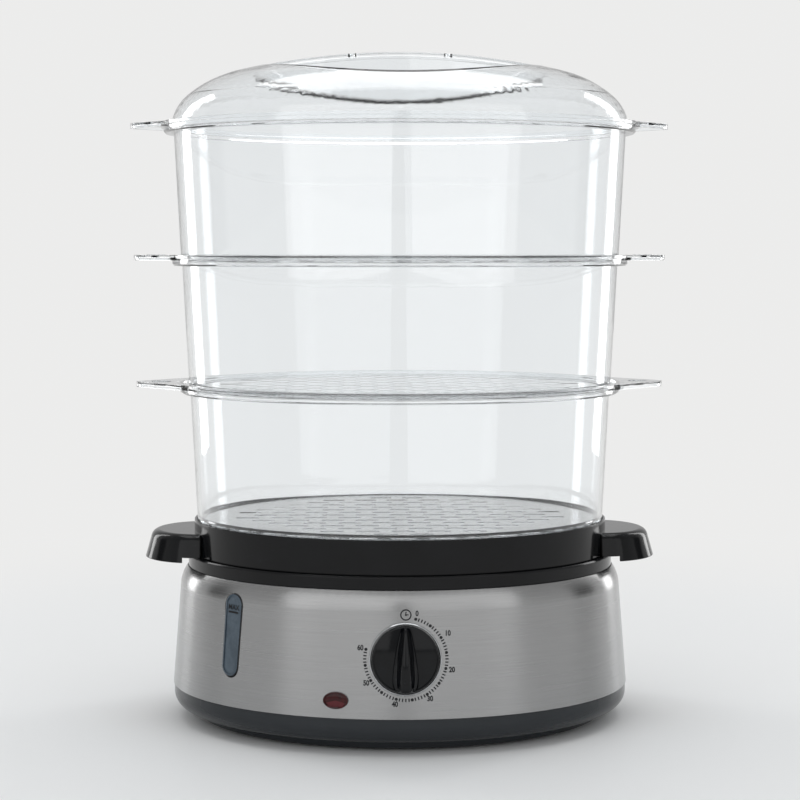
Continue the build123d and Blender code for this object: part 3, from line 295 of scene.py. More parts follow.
def end_edit(piece, angle=30):
    """Leave edit mode with outward normals, and smooth all but the sharp edges."""
    bpy.ops.object.mode_set(mode="EDIT")
    bpy.ops.mesh.select_all(action="SELECT")
    bpy.ops.mesh.remove_doubles(threshold=0.000001)
    bpy.ops.mesh.normals_make_consistent(inside=False)
    bpy.ops.object.mode_set(mode="OBJECT")
    pick(piece)
    bpy.ops.object.shade_smooth_by_angle(angle=math.radians(angle))


def keep_place(piece):
    """Take a piece's place, turn and scale into its mesh."""
    pick(piece)
    bpy.ops.object.transform_apply(location=True, rotation=True, scale=True)


def settle(piece, place):
    """Move a piece to its place and keep that place in its mesh."""
    piece.matrix_world = place @ piece.matrix_world
    keep_place(piece)


def join_all(pieces, name):
    """Join pieces into one that carries the name."""
    bpy.ops.object.select_all(action="DESELECT")
    for piece in pieces:
        piece.select_set(True)
    bpy.context.view_layer.objects.active = pieces[0]
    bpy.ops.object.join()
    pieces[0].name = name
    return pieces[0]


def cut_away(piece, cutter):
    """Cut one piece with another, which is used up."""
    pick(piece)
    cut = piece.modifiers.new("cut", "BOOLEAN")
    cut.operation = "DIFFERENCE"
    cut.solver = "EXACT"
    cut.object = cutter
    bpy.ops.object.modifier_apply(modifier=cut.name)
    bpy.data.objects.remove(cutter, do_unlink=True)


def pan_screw(head_radius, head_height, thread_radius, shank_length, recess):
    """A pan-head screw that stands on its seat, head up: domed head, recess and thread rings."""
    bpy.ops.mesh.primitive_cylinder_add(
        vertices=32, radius=head_radius, depth=head_height, location=(0, 0, head_height / 2)
    )
    head = bpy.context.object
    choose_faces(head, lambda centre, normal: normal.z > 0.9)
    head_dome = head_height * 0.55
    bpy.ops.mesh.bevel(offset=head_dome, segments=5, affect="EDGES")
    end_edit(head, 40)
    if recess == "cross":
        slot_turns = (0, math.pi / 2)
        slot_size = (head_radius * 1.25, head_radius * 0.26, head_height * 1.1)
    else:
        slot_turns = (math.pi / 4,)
        slot_size = (head_radius * 2.4, head_radius * 0.3, head_height * 0.9)
    slot_taper = (0.62, 0.62, 1)
    for turn in slot_turns:
        bpy.ops.mesh.primitive_cube_add(size=1, location=(0, 0, head_height), rotation=(0, 0, turn))
        slot = bpy.context.object
        slot.scale = slot_size
        keep_place(slot)
        choose_faces(slot, lambda centre, normal: normal.z < -0.9)
        bpy.ops.transform.resize(value=slot_taper, center_override=(0, 0, 0))
        bpy.ops.object.mode_set(mode="OBJECT")
        cut_away(head, slot)
    core_radius = thread_radius * 0.8
    bpy.ops.mesh.primitive_cylinder_add(
        vertices=20, radius=core_radius, depth=shank_length, location=(0, 0, -shank_length / 2)
    )
    turned_parts = [head, bpy.context.object]
    pitch = thread_radius * 0.75
    thread_rise = pitch * 0.45
    for turn in range(int(shank_length / pitch) - 1):
        bpy.ops.mesh.primitive_cone_add(
            vertices=20,
            radius1=core_radius,
            radius2=thread_radius,
            depth=thread_rise,
            location=(0, 0, -shank_length + pitch * (turn + 0.6)),
        )
        turned_parts.append(bpy.context.object)
    screw = join_all(turned_parts, "screw")
    end_edit(screw, 40)
    return screw


def copies_at(piece, places, name):
    """One copy of a piece at each place, each with its own mesh, joined under one name."""
    made = []
    for place in places:
        twin = piece.copy()
        twin.data = piece.data.copy()
        bpy.context.scene.collection.objects.link(twin)
        settle(twin, place)
        made.append(twin)
    bpy.data.objects.remove(piece, do_unlink=True)
    return join_all(made, name)


zinc_screw, tree, shader = new_material("zinc_screw")
shader.inputs["Metallic"].default_value = 1
finish_surface(
    tree, shader, tones=((0.56, 0.57, 0.58), (0.7, 0.7, 0.7)), tone_scale=900,
    rough=(0.22, 0.36), grain_scale=5000, grain_depth=0.00001,
)
case_screw_seat = 0.00635
case_screw_half_width = 0.1120
case_screw_angle = math.radians(25)
oval_depth = 0.851
downward = Matrix.Rotation(math.pi, 4, "X")
case_screw_places = [
    Matrix.Translation(
        (
            across * case_screw_half_width * math.cos(case_screw_angle),
            along * case_screw_half_width * oval_depth * math.sin(case_screw_angle),
            case_screw_seat,
        )
    )
    @ downward
    for across in (-1, 1)
    for along in (-1, 1)
]
case_screw = pan_screw(
    head_radius=0.0036, head_height=0.0022, thread_radius=0.00175, shank_length=0.018, recess="cross"
)
case_screws = copies_at(case_screw, case_screw_places, "case_screws_cross_head")
case_screws.data.materials.append(zinc_screw)
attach(case_screws, "base")
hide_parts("case_screws")


# ---------------------------------------------------------------- housing
# The frame that everything hangs on, moulded in gloss black ABS whose broad walls are very
# slightly wavy. Its rim is all that shows, above the steel.
gloss_black, tree, shader = new_material("gloss_black")
shader.inputs["Specular IOR Level"].default_value = 0.22
relief = finish_surface(
    tree, shader, tones=((0.0032, 0.0034, 0.0038), (0.0048, 0.005, 0.0058)), tone_scale=45,
    rough=(0.08, 0.14), grain_scale=160, grain_depth=0.00004,
)
soften_edges(tree, relief, 0.0009)
dress(gloss_black, "housing")


# ---------------------------------------------------------------- water tank
# The bowl that holds the water, in satin black plastic that limescale has dulled. It is moulded
# apart and welded under the housing's inner wall.
tank_black, tree, shader = new_material("tank_black")
finish_surface(
    tree, shader, tones=((0.02, 0.02, 0.021), (0.045, 0.045, 0.045)), tone_scale=70,
    rough=(0.3, 0.5), grain_scale=1500, grain_depth=0.00004,
)
dress(tank_black, "water_tank")


# ---------------------------------------------------------------- heater plate and its seal
# A cast aluminium dish in the opening of the tank's floor, turned bright in fine rings. Four
# cross-head screws press it up against its silicone seal.
cast_aluminium, tree, shader = new_material("cast_aluminium")
shader.inputs["Metallic"].default_value = 1
relief = finish_surface(
    tree, shader, tones=((0.5, 0.5, 0.51), (0.66, 0.66, 0.66)), tone_scale=90,
    rough=(0.3, 0.45), grain_scale=2600, grain_depth=0.00003,
)
turning = add_node(tree, "TexWave", Scale=260.0, Distortion=0.4)
turning.wave_type = "RINGS"
turning.rings_direction = "Z"
tree.links.new(own_coordinates(tree), turning.inputs["Vector"])
turned_rings = add_node(tree, "Bump", Strength=0.5, Distance=0.00002)
tree.links.new(turning.outputs["Fac"], turned_rings.inputs["Height"])
tree.links.new(relief.outputs["Normal"], turned_rings.inputs["Normal"])
tree.links.new(turned_rings.outputs["Normal"], shader.inputs["Normal"])
dress(cast_aluminium, "heater_plate")

seal_silicone, tree, shader = new_material("seal_silicone")
shader.inputs["Subsurface Weight"].default_value = 0.15
finish_surface(
    tree, shader, tones=((0.62, 0.6, 0.55), (0.7, 0.68, 0.64)), tone_scale=200,
    rough=(0.5, 0.65), grain_scale=2400, grain_depth=0.00004,
)
dress(seal_silicone, "heater_seal")

heater_screw_circle = 0.0545
heater_screw_seat = 0.0254
heater_screw_places = [
    Matrix.Translation(
        (
            heater_screw_circle * math.cos(math.radians(45 + 90 * turn)),
            heater_screw_circle * math.sin(math.radians(45 + 90 * turn)),
            heater_screw_seat,
        )
    )
    @ downward
    for turn in range(4)
]
heater_screw = pan_screw(
    head_radius=0.003, head_height=0.002, thread_radius=0.0015, shank_length=0.007, recess="cross"
)
heater_screws = copies_at(heater_screw, heater_screw_places, "heater_screws_cross_head")
heater_screws.data.materials.append(zinc_screw)
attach(heater_screws, "base")
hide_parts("heater_screws")


# ---------------------------------------------------------------- heating element
# A tube in a steel sheath, bent round under the heater plate and clamped to it. The heat has
# tinted the steel a straw brown.
element_sheath, tree, shader = new_material("element_sheath")
shader.inputs["Metallic"].default_value = 1
finish_surface(
    tree, shader, tones=((0.2, 0.17, 0.15), (0.34, 0.3, 0.26)), tone_scale=120,
    rough=(0.35, 0.5), grain_scale=3000, grain_depth=0.00003,
)
dress(element_sheath, "heating_element")


# ---------------------------------------------------------------- thermostat and thermal fuse
# A disc thermostat and a thermal fuse, both in thin pressed aluminium cans. The first is clamped
# to the middle of the heater plate and the second clipped beside it.
bare_aluminium, tree, shader = new_material("bare_aluminium")
shader.inputs["Metallic"].default_value = 1
finish_surface(
    tree, shader, tones=((0.66, 0.66, 0.67), (0.78, 0.78, 0.78)), tone_scale=400,
    rough=(0.25, 0.4), grain_scale=4000, grain_depth=0.00002,
)
dress(bare_aluminium, "thermostat", "thermal_fuse")


# ---------------------------------------------------------------- steel band
# Stainless sheet rolled to the oval, drawn in at the shoulder and brushed along its length. The
# brush lines stretch every reflection up and down into soft upright bands.
brushed_steel, tree, shader = new_material("brushed_steel")
shader.inputs["Metallic"].default_value = 1
shader.inputs["Anisotropic"].default_value = 0.7
shader.inputs["Anisotropic Rotation"].default_value = 0.25
along_band = tree.nodes.new("ShaderNodeTangent")
along_band.direction_type = "RADIAL"
along_band.axis = "Z"
tree.links.new(along_band.outputs["Tangent"], shader.inputs["Tangent"])
brushing = add_node(tree, "TexNoise", Scale=1.0, Detail=5.0, Roughness=0.7)
tree.links.new(own_coordinates(tree, (26, 26, 6500)), brushing.inputs["Vector"])
long_strokes = add_node(tree, "TexNoise", Scale=1.0, Detail=3.0, Roughness=0.6)
tree.links.new(own_coordinates(tree, (9, 9, 2600)), long_strokes.inputs["Vector"])
steel_tones = ((0.3, 0.302, 0.303), (0.36, 0.361, 0.361))
spread_tones(tree, shader, brushing.outputs["Fac"], steel_tones, 0.2)
spread_gloss(tree, shader, long_strokes.outputs["Fac"], (0.22, 0.28))
strokes = add_node(tree, "Bump", Strength=0.4, Distance=0.00001)
tree.links.new(brushing.outputs["Fac"], strokes.inputs["Height"])
tree.links.new(strokes.outputs["Normal"], shader.inputs["Normal"])
soften_edges(tree, strokes, 0.0005)
dress(brushed_steel, "steel_band")


# ---------------------------------------------------------------- timer behind the dial
# A clockwork timer: zinc-plated steel plate and can, nickelled bell and a turned D-shaft. Two
# slotted screws through the housing's posts hold the plate from the front.
zinc_plate, tree, shader = new_material("zinc_plate")
shader.inputs["Metallic"].default_value = 1
finish_surface(
    tree, shader, tones=((0.54, 0.55, 0.52), (0.7, 0.7, 0.66)), tone_scale=180,
    rough=(0.3, 0.42), grain_scale=3000, grain_depth=0.00002,
)
dress(zinc_plate, "timer_plate", "timer_can")

nickelled_bell, tree, shader = new_material("nickelled_bell")
shader.inputs["Metallic"].default_value = 1
finish_surface(
    tree, shader, tones=((0.66, 0.64, 0.6), (0.74, 0.72, 0.68)), tone_scale=200,
    rough=(0.1, 0.16), grain_scale=2500, grain_depth=0.00001,
)
dress(nickelled_bell, "timer_bell")

turned_shaft, tree, shader = new_material("turned_shaft")
shader.inputs["Metallic"].default_value = 1
finish_surface(
    tree, shader, tones=((0.52, 0.52, 0.52), (0.64, 0.64, 0.64)), tone_scale=900,
    rough=(0.2, 0.3), grain_scale=4000, grain_depth=0.00002,
)
dress(turned_shaft, "timer_shaft")


def facing_out(origin, out):
    """A place on the steel: X level, Y up the steel, Z straight out of it."""
    z_out = Vector(out).normalized()
    x_level = Vector((-z_out.y, z_out.x, 0)).normalized()
    y_up = z_out.cross(x_level)
    turned = Matrix((x_level, y_up, z_out)).transposed().to_4x4()
    return Matrix.Translation(origin) @ turned


dial_place = facing_out((0, -0.1124754, 0.0536), (0, -0.997698, 0.067808))
timer_screw_spacing = 0.026
timer_screw_seat = -0.00115
timer_screw_places = [
    dial_place @ Matrix.Translation((side * timer_screw_spacing / 2, 0, timer_screw_seat))
    for side in (-1, 1)
]
timer_screw = pan_screw(
    head_radius=0.0028, head_height=0.0016, thread_radius=0.00145, shank_length=0.008, recess="slot"
)
timer_screws = copies_at(timer_screw, timer_screw_places, "timer_screws_slotted")
timer_screws.data.materials.append(zinc_screw)
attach(timer_screws, "base")
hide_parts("timer_screws")


# ---------------------------------------------------------------- dial ring
# A thin chromed ring with a rounded lip round the knob. It sits on the steel and is clipped
# through it.
bezel_chrome, tree, shader = new_material("bezel_chrome")
shader.inputs["Metallic"].default_value = 1
relief = finish_surface(
    tree, shader, tones=((0.4, 0.41, 0.42), (0.48, 0.49, 0.5)), tone_scale=300,
    rough=(0.14, 0.2), grain_scale=1800, grain_depth=0.00001,
)
soften_edges(tree, relief, 0.0004)
dress(bezel_chrome, "dial_bezel")


# ---------------------------------------------------------------- dial scale
# Black print on the steel: a dot every five minutes, a stroke every minute between, plain
# numbers every ten and a little clock above. Pad-printed after the band is rolled.
scale_radius = 0.0224
dot_radius = 0.00086
stroke_size = (0.0007, 0.00175, 1)
zero_angle = math.radians(13.8)
minute_angle = math.radians(4.5)
number_radius = 0.0253
number_size = 0.003968
number_narrowing = 0.82
number_boldness = 0.00015
scale_shift = 0.0003
print_lift = 0.0001
clear_of_steel = 0.006
# how much further out than the others each number stands
number_spreads = {0: 0.0002, 10: 0.0014, 20: 0.0006, 30: 0, 40: 0, 50: 0, 60: 0.0002}


def on_scale(radius, angle):
    """A spot on the dial, by its distance from the middle and its clockwise angle from the top."""
    return (radius * math.sin(angle), radius * math.cos(angle), 0)


def flat_text(words, middle, size, boldness, narrowing):
    """Plain printed characters as a flat mesh round their middle."""
    bpy.ops.object.text_add(location=middle)
    text = bpy.context.object
    text.data.body = words
    text.data.size = size
    text.data.align_x = "CENTER"
    text.data.align_y = "CENTER"
    text.data.offset = boldness
    text.scale = (narrowing, 1, 1)
    bpy.ops.object.convert(target="MESH")
    return bpy.context.object


print_marks = []
for minute in range(61):
    angle = zero_angle + minute * minute_angle
    if minute % 5 == 0:
        bpy.ops.mesh.primitive_circle_add(
            vertices=20, radius=dot_radius, fill_type="NGON", location=on_scale(scale_radius, angle)
        )
        print_marks.append(bpy.context.object)
        continue
    bpy.ops.mesh.primitive_plane_add(size=1, location=on_scale(scale_radius, angle))
    stroke = bpy.context.object
    stroke.scale = stroke_size
    stroke.rotation_euler = (0, 0, -angle)
    print_marks.append(stroke)
for tens, spread in number_spreads.items():
    angle = zero_angle + tens * minute_angle
    number_middle = on_scale(number_radius + spread, angle)
    print_marks.append(
        flat_text(str(tens), number_middle, number_size, number_boldness, number_narrowing)
    )

clock_radius = 0.0031
clock_height = 0.0241
clock_ring = 0.00068
hand_width = 0.0005
clock_hub = 0.00055
bpy.ops.mesh.primitive_circle_add(
    vertices=48, radius=clock_radius, fill_type="NGON", location=(0, clock_height, 0)
)
clock = bpy.context.object
bpy.ops.object.mode_set(mode="EDIT")
bpy.ops.mesh.select_all(action="SELECT")
bpy.ops.mesh.inset(thickness=clock_ring)
bpy.ops.mesh.delete(type="FACE")
bpy.ops.object.mode_set(mode="OBJECT")
print_marks.append(clock)
# each hand: its middle across and up from the hub, its length and its turn
clock_hands = ((0, 0.00075, 0.0015, 0), (0.0006, 0, 0.0012, math.pi / 2))
for across, up, long_side, turn in clock_hands:
    bpy.ops.mesh.primitive_plane_add(size=1, location=(across, clock_height + up, 0))
    hand = bpy.context.object
    hand.scale = (hand_width, long_side + hand_width, 1)
    hand.rotation_euler = (0, 0, turn)
    print_marks.append(hand)
bpy.ops.mesh.primitive_circle_add(
    vertices=16, radius=clock_hub, fill_type="NGON", location=(0, clock_height, 0)
)
print_marks.append(bpy.context.object)

for mark in print_marks:
    keep_place(mark)
dial_scale = join_all(print_marks, "dial_scale_print")
dial_scale.matrix_world = dial_place @ Matrix.Translation((scale_shift, 0, clear_of_steel))
onto_steel = dial_scale.modifiers.new("onto_steel", "SHRINKWRAP")
onto_steel.wrap_method = "PROJECT"
onto_steel.use_project_z = True
onto_steel.use_negative_direction = True
onto_steel.use_positive_direction = False
onto_steel.wrap_mode = "ABOVE_SURFACE"
onto_steel.offset = print_lift
onto_steel.target = cad["steel_band"]
bpy.ops.object.modifier_apply(modifier=onto_steel.name)
keep_place(dial_scale)
print_black, tree, shader = new_material("print_black")
shader.inputs["Specular IOR Level"].default_value = 0.25
finish_surface(
    tree, shader, tones=((0.004, 0.0045, 0.006), (0.007, 0.008, 0.01)), tone_scale=3000,
    rough=(0.4, 0.5), grain_scale=6000, grain_depth=0.00001,
)
dial_scale.data.materials.append(print_black)
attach(dial_scale, "base")


# ---------------------------------------------------------------- timer knob
# A gloss black moulding: a dished disc with a rolled rim, and a tall teardrop grip whose thin
# end is the pointer and whose narrow crest stands clear of its flanks. Pushed onto the D-shaft.
knob_gloss, tree, shader = new_material("knob_gloss")
shader.inputs["Specular IOR Level"].default_value = 0.24
finish_surface(
    tree, shader, tones=((0.0022, 0.0026, 0.0034), (0.0034, 0.004, 0.005)), tone_scale=200,
    rough=(0.05, 0.09), grain_scale=900, grain_depth=0.000004,
)
knob_radius = 0.0183
knob_lift = 0.001
knob_disc = 0.0026
knob_dish = 0.0007
knob_edge_round = 0.0006
knob_rim = 0.0006
knob_rim_slope = 0.0007
knob_face_border = 0.0003
knob_wall = 0.0018
knob_back_recess = 0.0007
disc_face = knob_lift + knob_disc - knob_dish
grip_sunk = 0.0003
hub_radius = 0.0056
hub_length = 0.0016
hub_wall = 0.0023
hub_bore_depth = 0.001
bpy.ops.mesh.primitive_cylinder_add(
    vertices=128, radius=knob_radius, depth=knob_disc, location=(0, 0, knob_lift + knob_disc / 2)
)
knob_disc_piece = bpy.context.object
choose_faces(knob_disc_piece, lambda centre, normal: normal.z > 0.9)
bpy.ops.mesh.bevel(offset=knob_edge_round, segments=4, affect="EDGES")
choose_faces(knob_disc_piece, lambda centre, normal: normal.z > 0.9)
bpy.ops.mesh.inset(thickness=knob_rim)
bpy.ops.mesh.inset(thickness=knob_rim_slope)
bpy.ops.transform.translate(value=(0, 0, -knob_dish))
bpy.ops.mesh.inset(thickness=knob_face_border)
choose_faces(knob_disc_piece, lambda centre, normal: normal.z < -0.9)
bpy.ops.mesh.inset(thickness=knob_wall)
bpy.ops.transform.translate(value=(0, 0, knob_back_recess))
end_edit(knob_disc_piece, 35)

# along the grip: how far up the dial, half-width at the foot, half-width and height of the crest
grip_stations = (
    (-0.0181, 0.0026, 0.0009, 0.0036),
    (-0.0176, 0.0050, 0.0020, 0.0062),
    (-0.0160, 0.0068, 0.0027, 0.0072),
    (-0.0120, 0.0074, 0.0028, 0.0072),
    (-0.0060, 0.0071, 0.0026, 0.0072),
    (0.0000, 0.0063, 0.0023, 0.0070),
    (0.0060, 0.0053, 0.0019, 0.0065),
    (0.0110, 0.0043, 0.0014, 0.0057),
    (0.0150, 0.0033, 0.0010, 0.0046),
    (0.0176, 0.0020, 0.0006, 0.0030),
)
grip_columns = 8
grip_flare = 1.03
bpy.ops.mesh.primitive_grid_add(
    x_subdivisions=grip_columns, y_subdivisions=len(grip_stations) - 1, size=1, location=(0, 0, 0)
)
grip = bpy.context.object
rows = sorted({round(point.co.y, 5) for point in grip.data.vertices})
# across the grip, from its foot to its middle: share of the foot's width or, further up, of the
# crest's, and share of the height
foot_share = (1.0, 0.94)
crest_share = (1.55, 1.0, 0.0)
rise_grip = (0.0, 0.12, 0.36, 0.96, 1.0)
for row, (along, foot_width, crest_width, crest_height) in zip(rows, grip_stations):
    for point in grip.data.vertices:
        if abs(point.co.y - row) > 0.0001 or point.co.z != 0:
            continue
        step = round((0.5 - abs(point.co.x)) * grip_columns)
        side = math.copysign(1, point.co.x) if point.co.x else 0
        width = foot_width * foot_share[step] if step < 2 else crest_width * crest_share[step - 2]
        height = disc_face - grip_sunk + (crest_height + grip_sunk) * rise_grip[step]
        point.co = (side * width, along, height)
bpy.ops.object.mode_set(mode="EDIT")
bpy.ops.mesh.select_all(action="DESELECT")
bpy.ops.mesh.select_mode(type="EDGE")
bpy.ops.mesh.select_non_manifold()
bpy.ops.mesh.extrude_region_move(TRANSFORM_OT_translate={"value": (0, 0, 0)})
bpy.ops.transform.resize(
    value=(grip_flare, grip_flare, 0), center_override=(0, 0, disc_face - 2 * grip_sunk)
)
bpy.ops.mesh.edge_face_add()
end_edit(grip, 60)
round_off = grip.modifiers.new("round_off", "SUBSURF")
round_off.levels = 3
round_off.render_levels = 3
bpy.ops.object.modifier_apply(modifier=round_off.name)
bpy.ops.object.shade_smooth_by_angle(angle=math.radians(80))

bpy.ops.mesh.primitive_cylinder_add(
    vertices=48, radius=hub_radius, depth=hub_length, location=(0, 0, knob_lift + hub_length / 2)
)
hub = bpy.context.object
choose_faces(hub, lambda centre, normal: normal.z < -0.9)
bpy.ops.mesh.inset(thickness=hub_wall)
bpy.ops.transform.translate(value=(0, 0, hub_bore_depth))
end_edit(hub, 35)
timer_knob = join_all([knob_disc_piece, grip, hub], "timer_knob_gloss")
settle(timer_knob, dial_place)
timer_knob.data.materials.append(knob_gloss)
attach(timer_knob, "knob")
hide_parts("knob")


# ---------------------------------------------------------------- neon light
# A red acrylic lens, oval, its face pressed in to a shallow bowl whose lower side is painted a
# lighter red, a painted reflection of the light from above, and the small glass neon lamp pushed into
# the sleeve behind it.
neon_place = facing_out((-0.037835, -0.109399, 0.0306), (-0.2424, -0.9678, 0.0686))
red_lens, tree, shader = new_material("red_lens")
shader.inputs["IOR"].default_value = 1.49
shader.inputs["Specular IOR Level"].default_value = 0.32
finish_surface(
    tree, shader, tones=((0.02, 0.0006, 0.001), (0.045, 0.001, 0.0016)), tone_scale=300,
    rough=(0.04, 0.06), grain_scale=900, grain_depth=0.000003,
)
# painted reflection: a lighter red for the bowl's lower side, as if it caught the light from above
red_painted_sheen, tree, shader = new_material("red_painted_sheen")
shader.inputs["Specular IOR Level"].default_value = 0.32
finish_surface(
    tree, shader, tones=((0.07, 0.007, 0.01), (0.11, 0.012, 0.016)), tone_scale=300,
    rough=(0.08, 0.12), grain_scale=900, grain_depth=0.000003,
)
lens_size = (0.007, 0.00465, 0.0036)
lens_middle = -0.0009
lens_swell = 0.0012
lens_edge_round = 0.0007
lens_rim = 0.0002
bowl_steps = ((0.0002, 0.00025), (0.0006, 0.0003), (0.0007, 0.0002), (0.0008, 0.0001))
bowl_point = 0.00002
# the band of the bowl that takes the painted reflection
painted_sheen_top = -0.0009
painted_sheen_bottom = -0.0036
painted_sheen_half_width = 0.0044
sleeve_size = (0.0056, 0.0039, 0.0088)
sleeve_middle = -0.0042
sleeve_wall = 0.0014
sleeve_depth = 0.007
bpy.ops.mesh.primitive_cylinder_add(vertices=64, radius=1, depth=1, location=(0, 0, lens_middle))
lens_piece = bpy.context.object
lens_piece.scale = lens_size
keep_place(lens_piece)
choose_faces(lens_piece, lambda centre, normal: normal.z > 0.9)
bpy.ops.transform.translate(value=(0, 0, lens_swell))
bpy.ops.mesh.bevel(offset=lens_edge_round, segments=5, affect="EDGES")
choose_faces(lens_piece, lambda centre, normal: normal.z > 0.9)
bpy.ops.mesh.inset(thickness=lens_rim)
for step_in, step_down in bowl_steps:
    bpy.ops.mesh.inset(thickness=step_in)
    bpy.ops.transform.translate(value=(0, 0, -step_down))
bpy.ops.mesh.poke(offset=-bowl_point)
end_edit(lens_piece, 42)
lens_piece.data.materials.append(red_lens)
lens_piece.data.materials.append(red_painted_sheen)
# the bowl's lower side takes the lighter red of the painted reflection, the rest the lens's own red
for face in lens_piece.data.polygons:
    lower_part = painted_sheen_bottom <= face.center.y < painted_sheen_top
    in_bowl = abs(face.center.x) < painted_sheen_half_width and face.normal.z >= 0.8
    face.material_index = 1 if lower_part and in_bowl else 0
bpy.ops.mesh.primitive_cylinder_add(vertices=48, radius=1, depth=1, location=(0, 0, sleeve_middle))
sleeve = bpy.context.object
sleeve.scale = sleeve_size
keep_place(sleeve)
choose_faces(sleeve, lambda centre, normal: normal.z < -0.9)
bpy.ops.mesh.inset(thickness=sleeve_wall)
bpy.ops.transform.translate(value=(0, 0, sleeve_depth))
end_edit(sleeve, 35)
neon_light = join_all([lens_piece, sleeve], "neon_light_red")
settle(neon_light, neon_place)
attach(neon_light, "base")
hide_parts("neon_lens")

lamp_glass, tree, shader = new_material("lamp_glass")
shader.inputs["Transmission Weight"].default_value = 0.8
finish_surface(
    tree, shader, tones=((0.72, 0.6, 0.5), (0.8, 0.7, 0.62)), tone_scale=400,
    rough=(0.04, 0.1), grain_scale=2000, grain_depth=0.00001,
)
dress(lamp_glass, "neon_lamp")


# ---------------------------------------------------------------- water window
# A long smoky lens seated in the steel, thin at its edges, with a level line and plain letters
# printed near its top. Its bevelled edges and the groove round its pane are painted near black,
# painted shade for the dark outline that the edges show.
window_lean = Matrix.Rotation(math.radians(-1.7), 4, "Z")
window_place = facing_out((-0.095945, -0.076674, 0.0607), (-0.6697, -0.739, 0.0734)) @ window_lean
window_length = 0.047
window_top_width = 0.0134
window_bottom_width = 0.0128
window_thickness = 0.0026
window_set_in = 0.0021
window_edge_round = 0.0009
# inwards and down: the rim's flat, the groove's wall (painted dark as painted shade) and the pane's
# border
pane_steps = ((0.0009, 0), (0.00025, 0.00045), (0.0003, 0))
pane_area_least = 0.0001
level_print_lift = 0.00021
level_height = 0.0128
level_line_size = (0.0074, 0.00105, 1)
level_word_height = 0.0155
level_word_size = 0.0041
level_word_boldness = 0.00009
level_word_narrowing = 0.95
window_smoke, tree, shader = new_material("window_smoke")
shader.inputs["Transmission Weight"].default_value = 0.2
shader.inputs["Specular IOR Level"].default_value = 0.4
finish_surface(
    tree, shader, tones=((0.052, 0.078, 0.104), (0.085, 0.118, 0.15)), tone_scale=130,
    rough=(0.1, 0.14), grain_scale=1500, grain_depth=0.000004,
)
# painted shade: a near-black colour for the bevelled edges and the groove's wall, where the lens's
# outline shows dark
window_painted_shade_edge, tree, shader = new_material("window_painted_shade_edge")
shader.inputs["Specular IOR Level"].default_value = 0.3
finish_surface(
    tree, shader, tones=((0.006, 0.007, 0.009), (0.01, 0.012, 0.014)), tone_scale=300,
    rough=(0.08, 0.12), grain_scale=2000, grain_depth=0.000004,
)


def window_form(length, top_width, bottom_width, name):
    """The window's outline as a flat face: two round ends of unlike width and the flats between."""
    bpy.ops.mesh.primitive_circle_add(vertices=64, radius=1, fill_type="NGON", location=(0, 0, 0))
    outline = bpy.context.object
    for point in outline.data.vertices:
        end_radius = top_width / 2 if point.co.y >= 0 else bottom_width / 2
        end_middle = length / 2 - end_radius
        up_or_down = 1 if point.co.y >= 0 else -1
        point.co = (point.co.x * end_radius, point.co.y * end_radius + up_or_down * end_middle, 0)
    outline.name = name
    return outline


window_glass = window_form(window_length, window_top_width, window_bottom_width, "window_smoky_lens")
near_face = window_thickness - 0.0001
choose_faces(window_glass, lambda centre, normal: True)
bpy.ops.mesh.extrude_region_move(TRANSFORM_OT_translate={"value": (0, 0, window_thickness)})
choose_faces(window_glass, lambda centre, normal: centre.z > near_face)
bpy.ops.mesh.bevel(offset=window_edge_round, segments=5, affect="EDGES")
choose_faces(window_glass, lambda centre, normal: abs(normal.z) > 0.9 and centre.z > near_face)
for step_in, step_down in pane_steps:
    bpy.ops.mesh.inset(thickness=step_in)
    bpy.ops.transform.translate(value=(0, 0, -step_down))
end_edit(window_glass, 30)
window_glass.data.materials.append(window_painted_shade_edge)
window_glass.data.materials.append(window_smoke)
# flat faces take the smoke; the bevels and the groove's wall take the painted shade
for face in window_glass.data.polygons:
    on_rim = face.center.z > window_thickness - 0.00001
    smoky = face.normal.z > 0.95 and (on_rim or face.area > pane_area_least)
    face.material_index = 1 if smoky else 0
settle(window_glass, window_place @ Matrix.Translation((0, 0, -window_set_in)))
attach(window_glass, "base")
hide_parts("window_lens")

bpy.ops.mesh.primitive_plane_add(size=1, location=(0, level_height, 0))
level_line = bpy.context.object
level_line.scale = level_line_size
level_word = flat_text(
    "MAX", (0, level_word_height, 0), level_word_size, level_word_boldness, level_word_narrowing
)
for mark in (level_line, level_word):
    keep_place(mark)
level_print = join_all([level_line, level_word], "window_level_print")
settle(level_print, window_place @ Matrix.Translation((0, 0, level_print_lift)))
level_print.data.materials.append(print_black)
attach(level_print, "base")

gasket_rubber, tree, shader = new_material("gasket_rubber")
finish_surface(
    tree, shader, tones=((0.02, 0.02, 0.021), (0.03, 0.03, 0.03)), tone_scale=300,
    rough=(0.5, 0.7), grain_scale=2400, grain_depth=0.00005,
)
dress(gasket_rubber, "window_gasket")


# ---------------------------------------------------------------- cord gland and terminal block
# A black nylon gland with a hexagon nut inside the back, and a white nylon block whose brass
# screws clamp the wires. The cord is supplied apart.
gland_nylon, tree, shader = new_material("gland_nylon")
relief = finish_surface(
    tree, shader, tones=((0.02, 0.02, 0.021), (0.032, 0.032, 0.033)), tone_scale=240,
    rough=(0.35, 0.5), grain_scale=2600, grain_depth=0.00004,
)
soften_edges(tree, relief, 0.0005)
dress(gland_nylon, "cord_gland", "gland_nut")

white_nylon, tree, shader = new_material("white_nylon")
shader.inputs["Subsurface Weight"].default_value = 0.1
finish_surface(
    tree, shader, tones=((0.74, 0.73, 0.69), (0.82, 0.81, 0.78)), tone_scale=160,
    rough=(0.35, 0.5), grain_scale=2200, grain_depth=0.00003,
)
dress(white_nylon, "terminal_block")

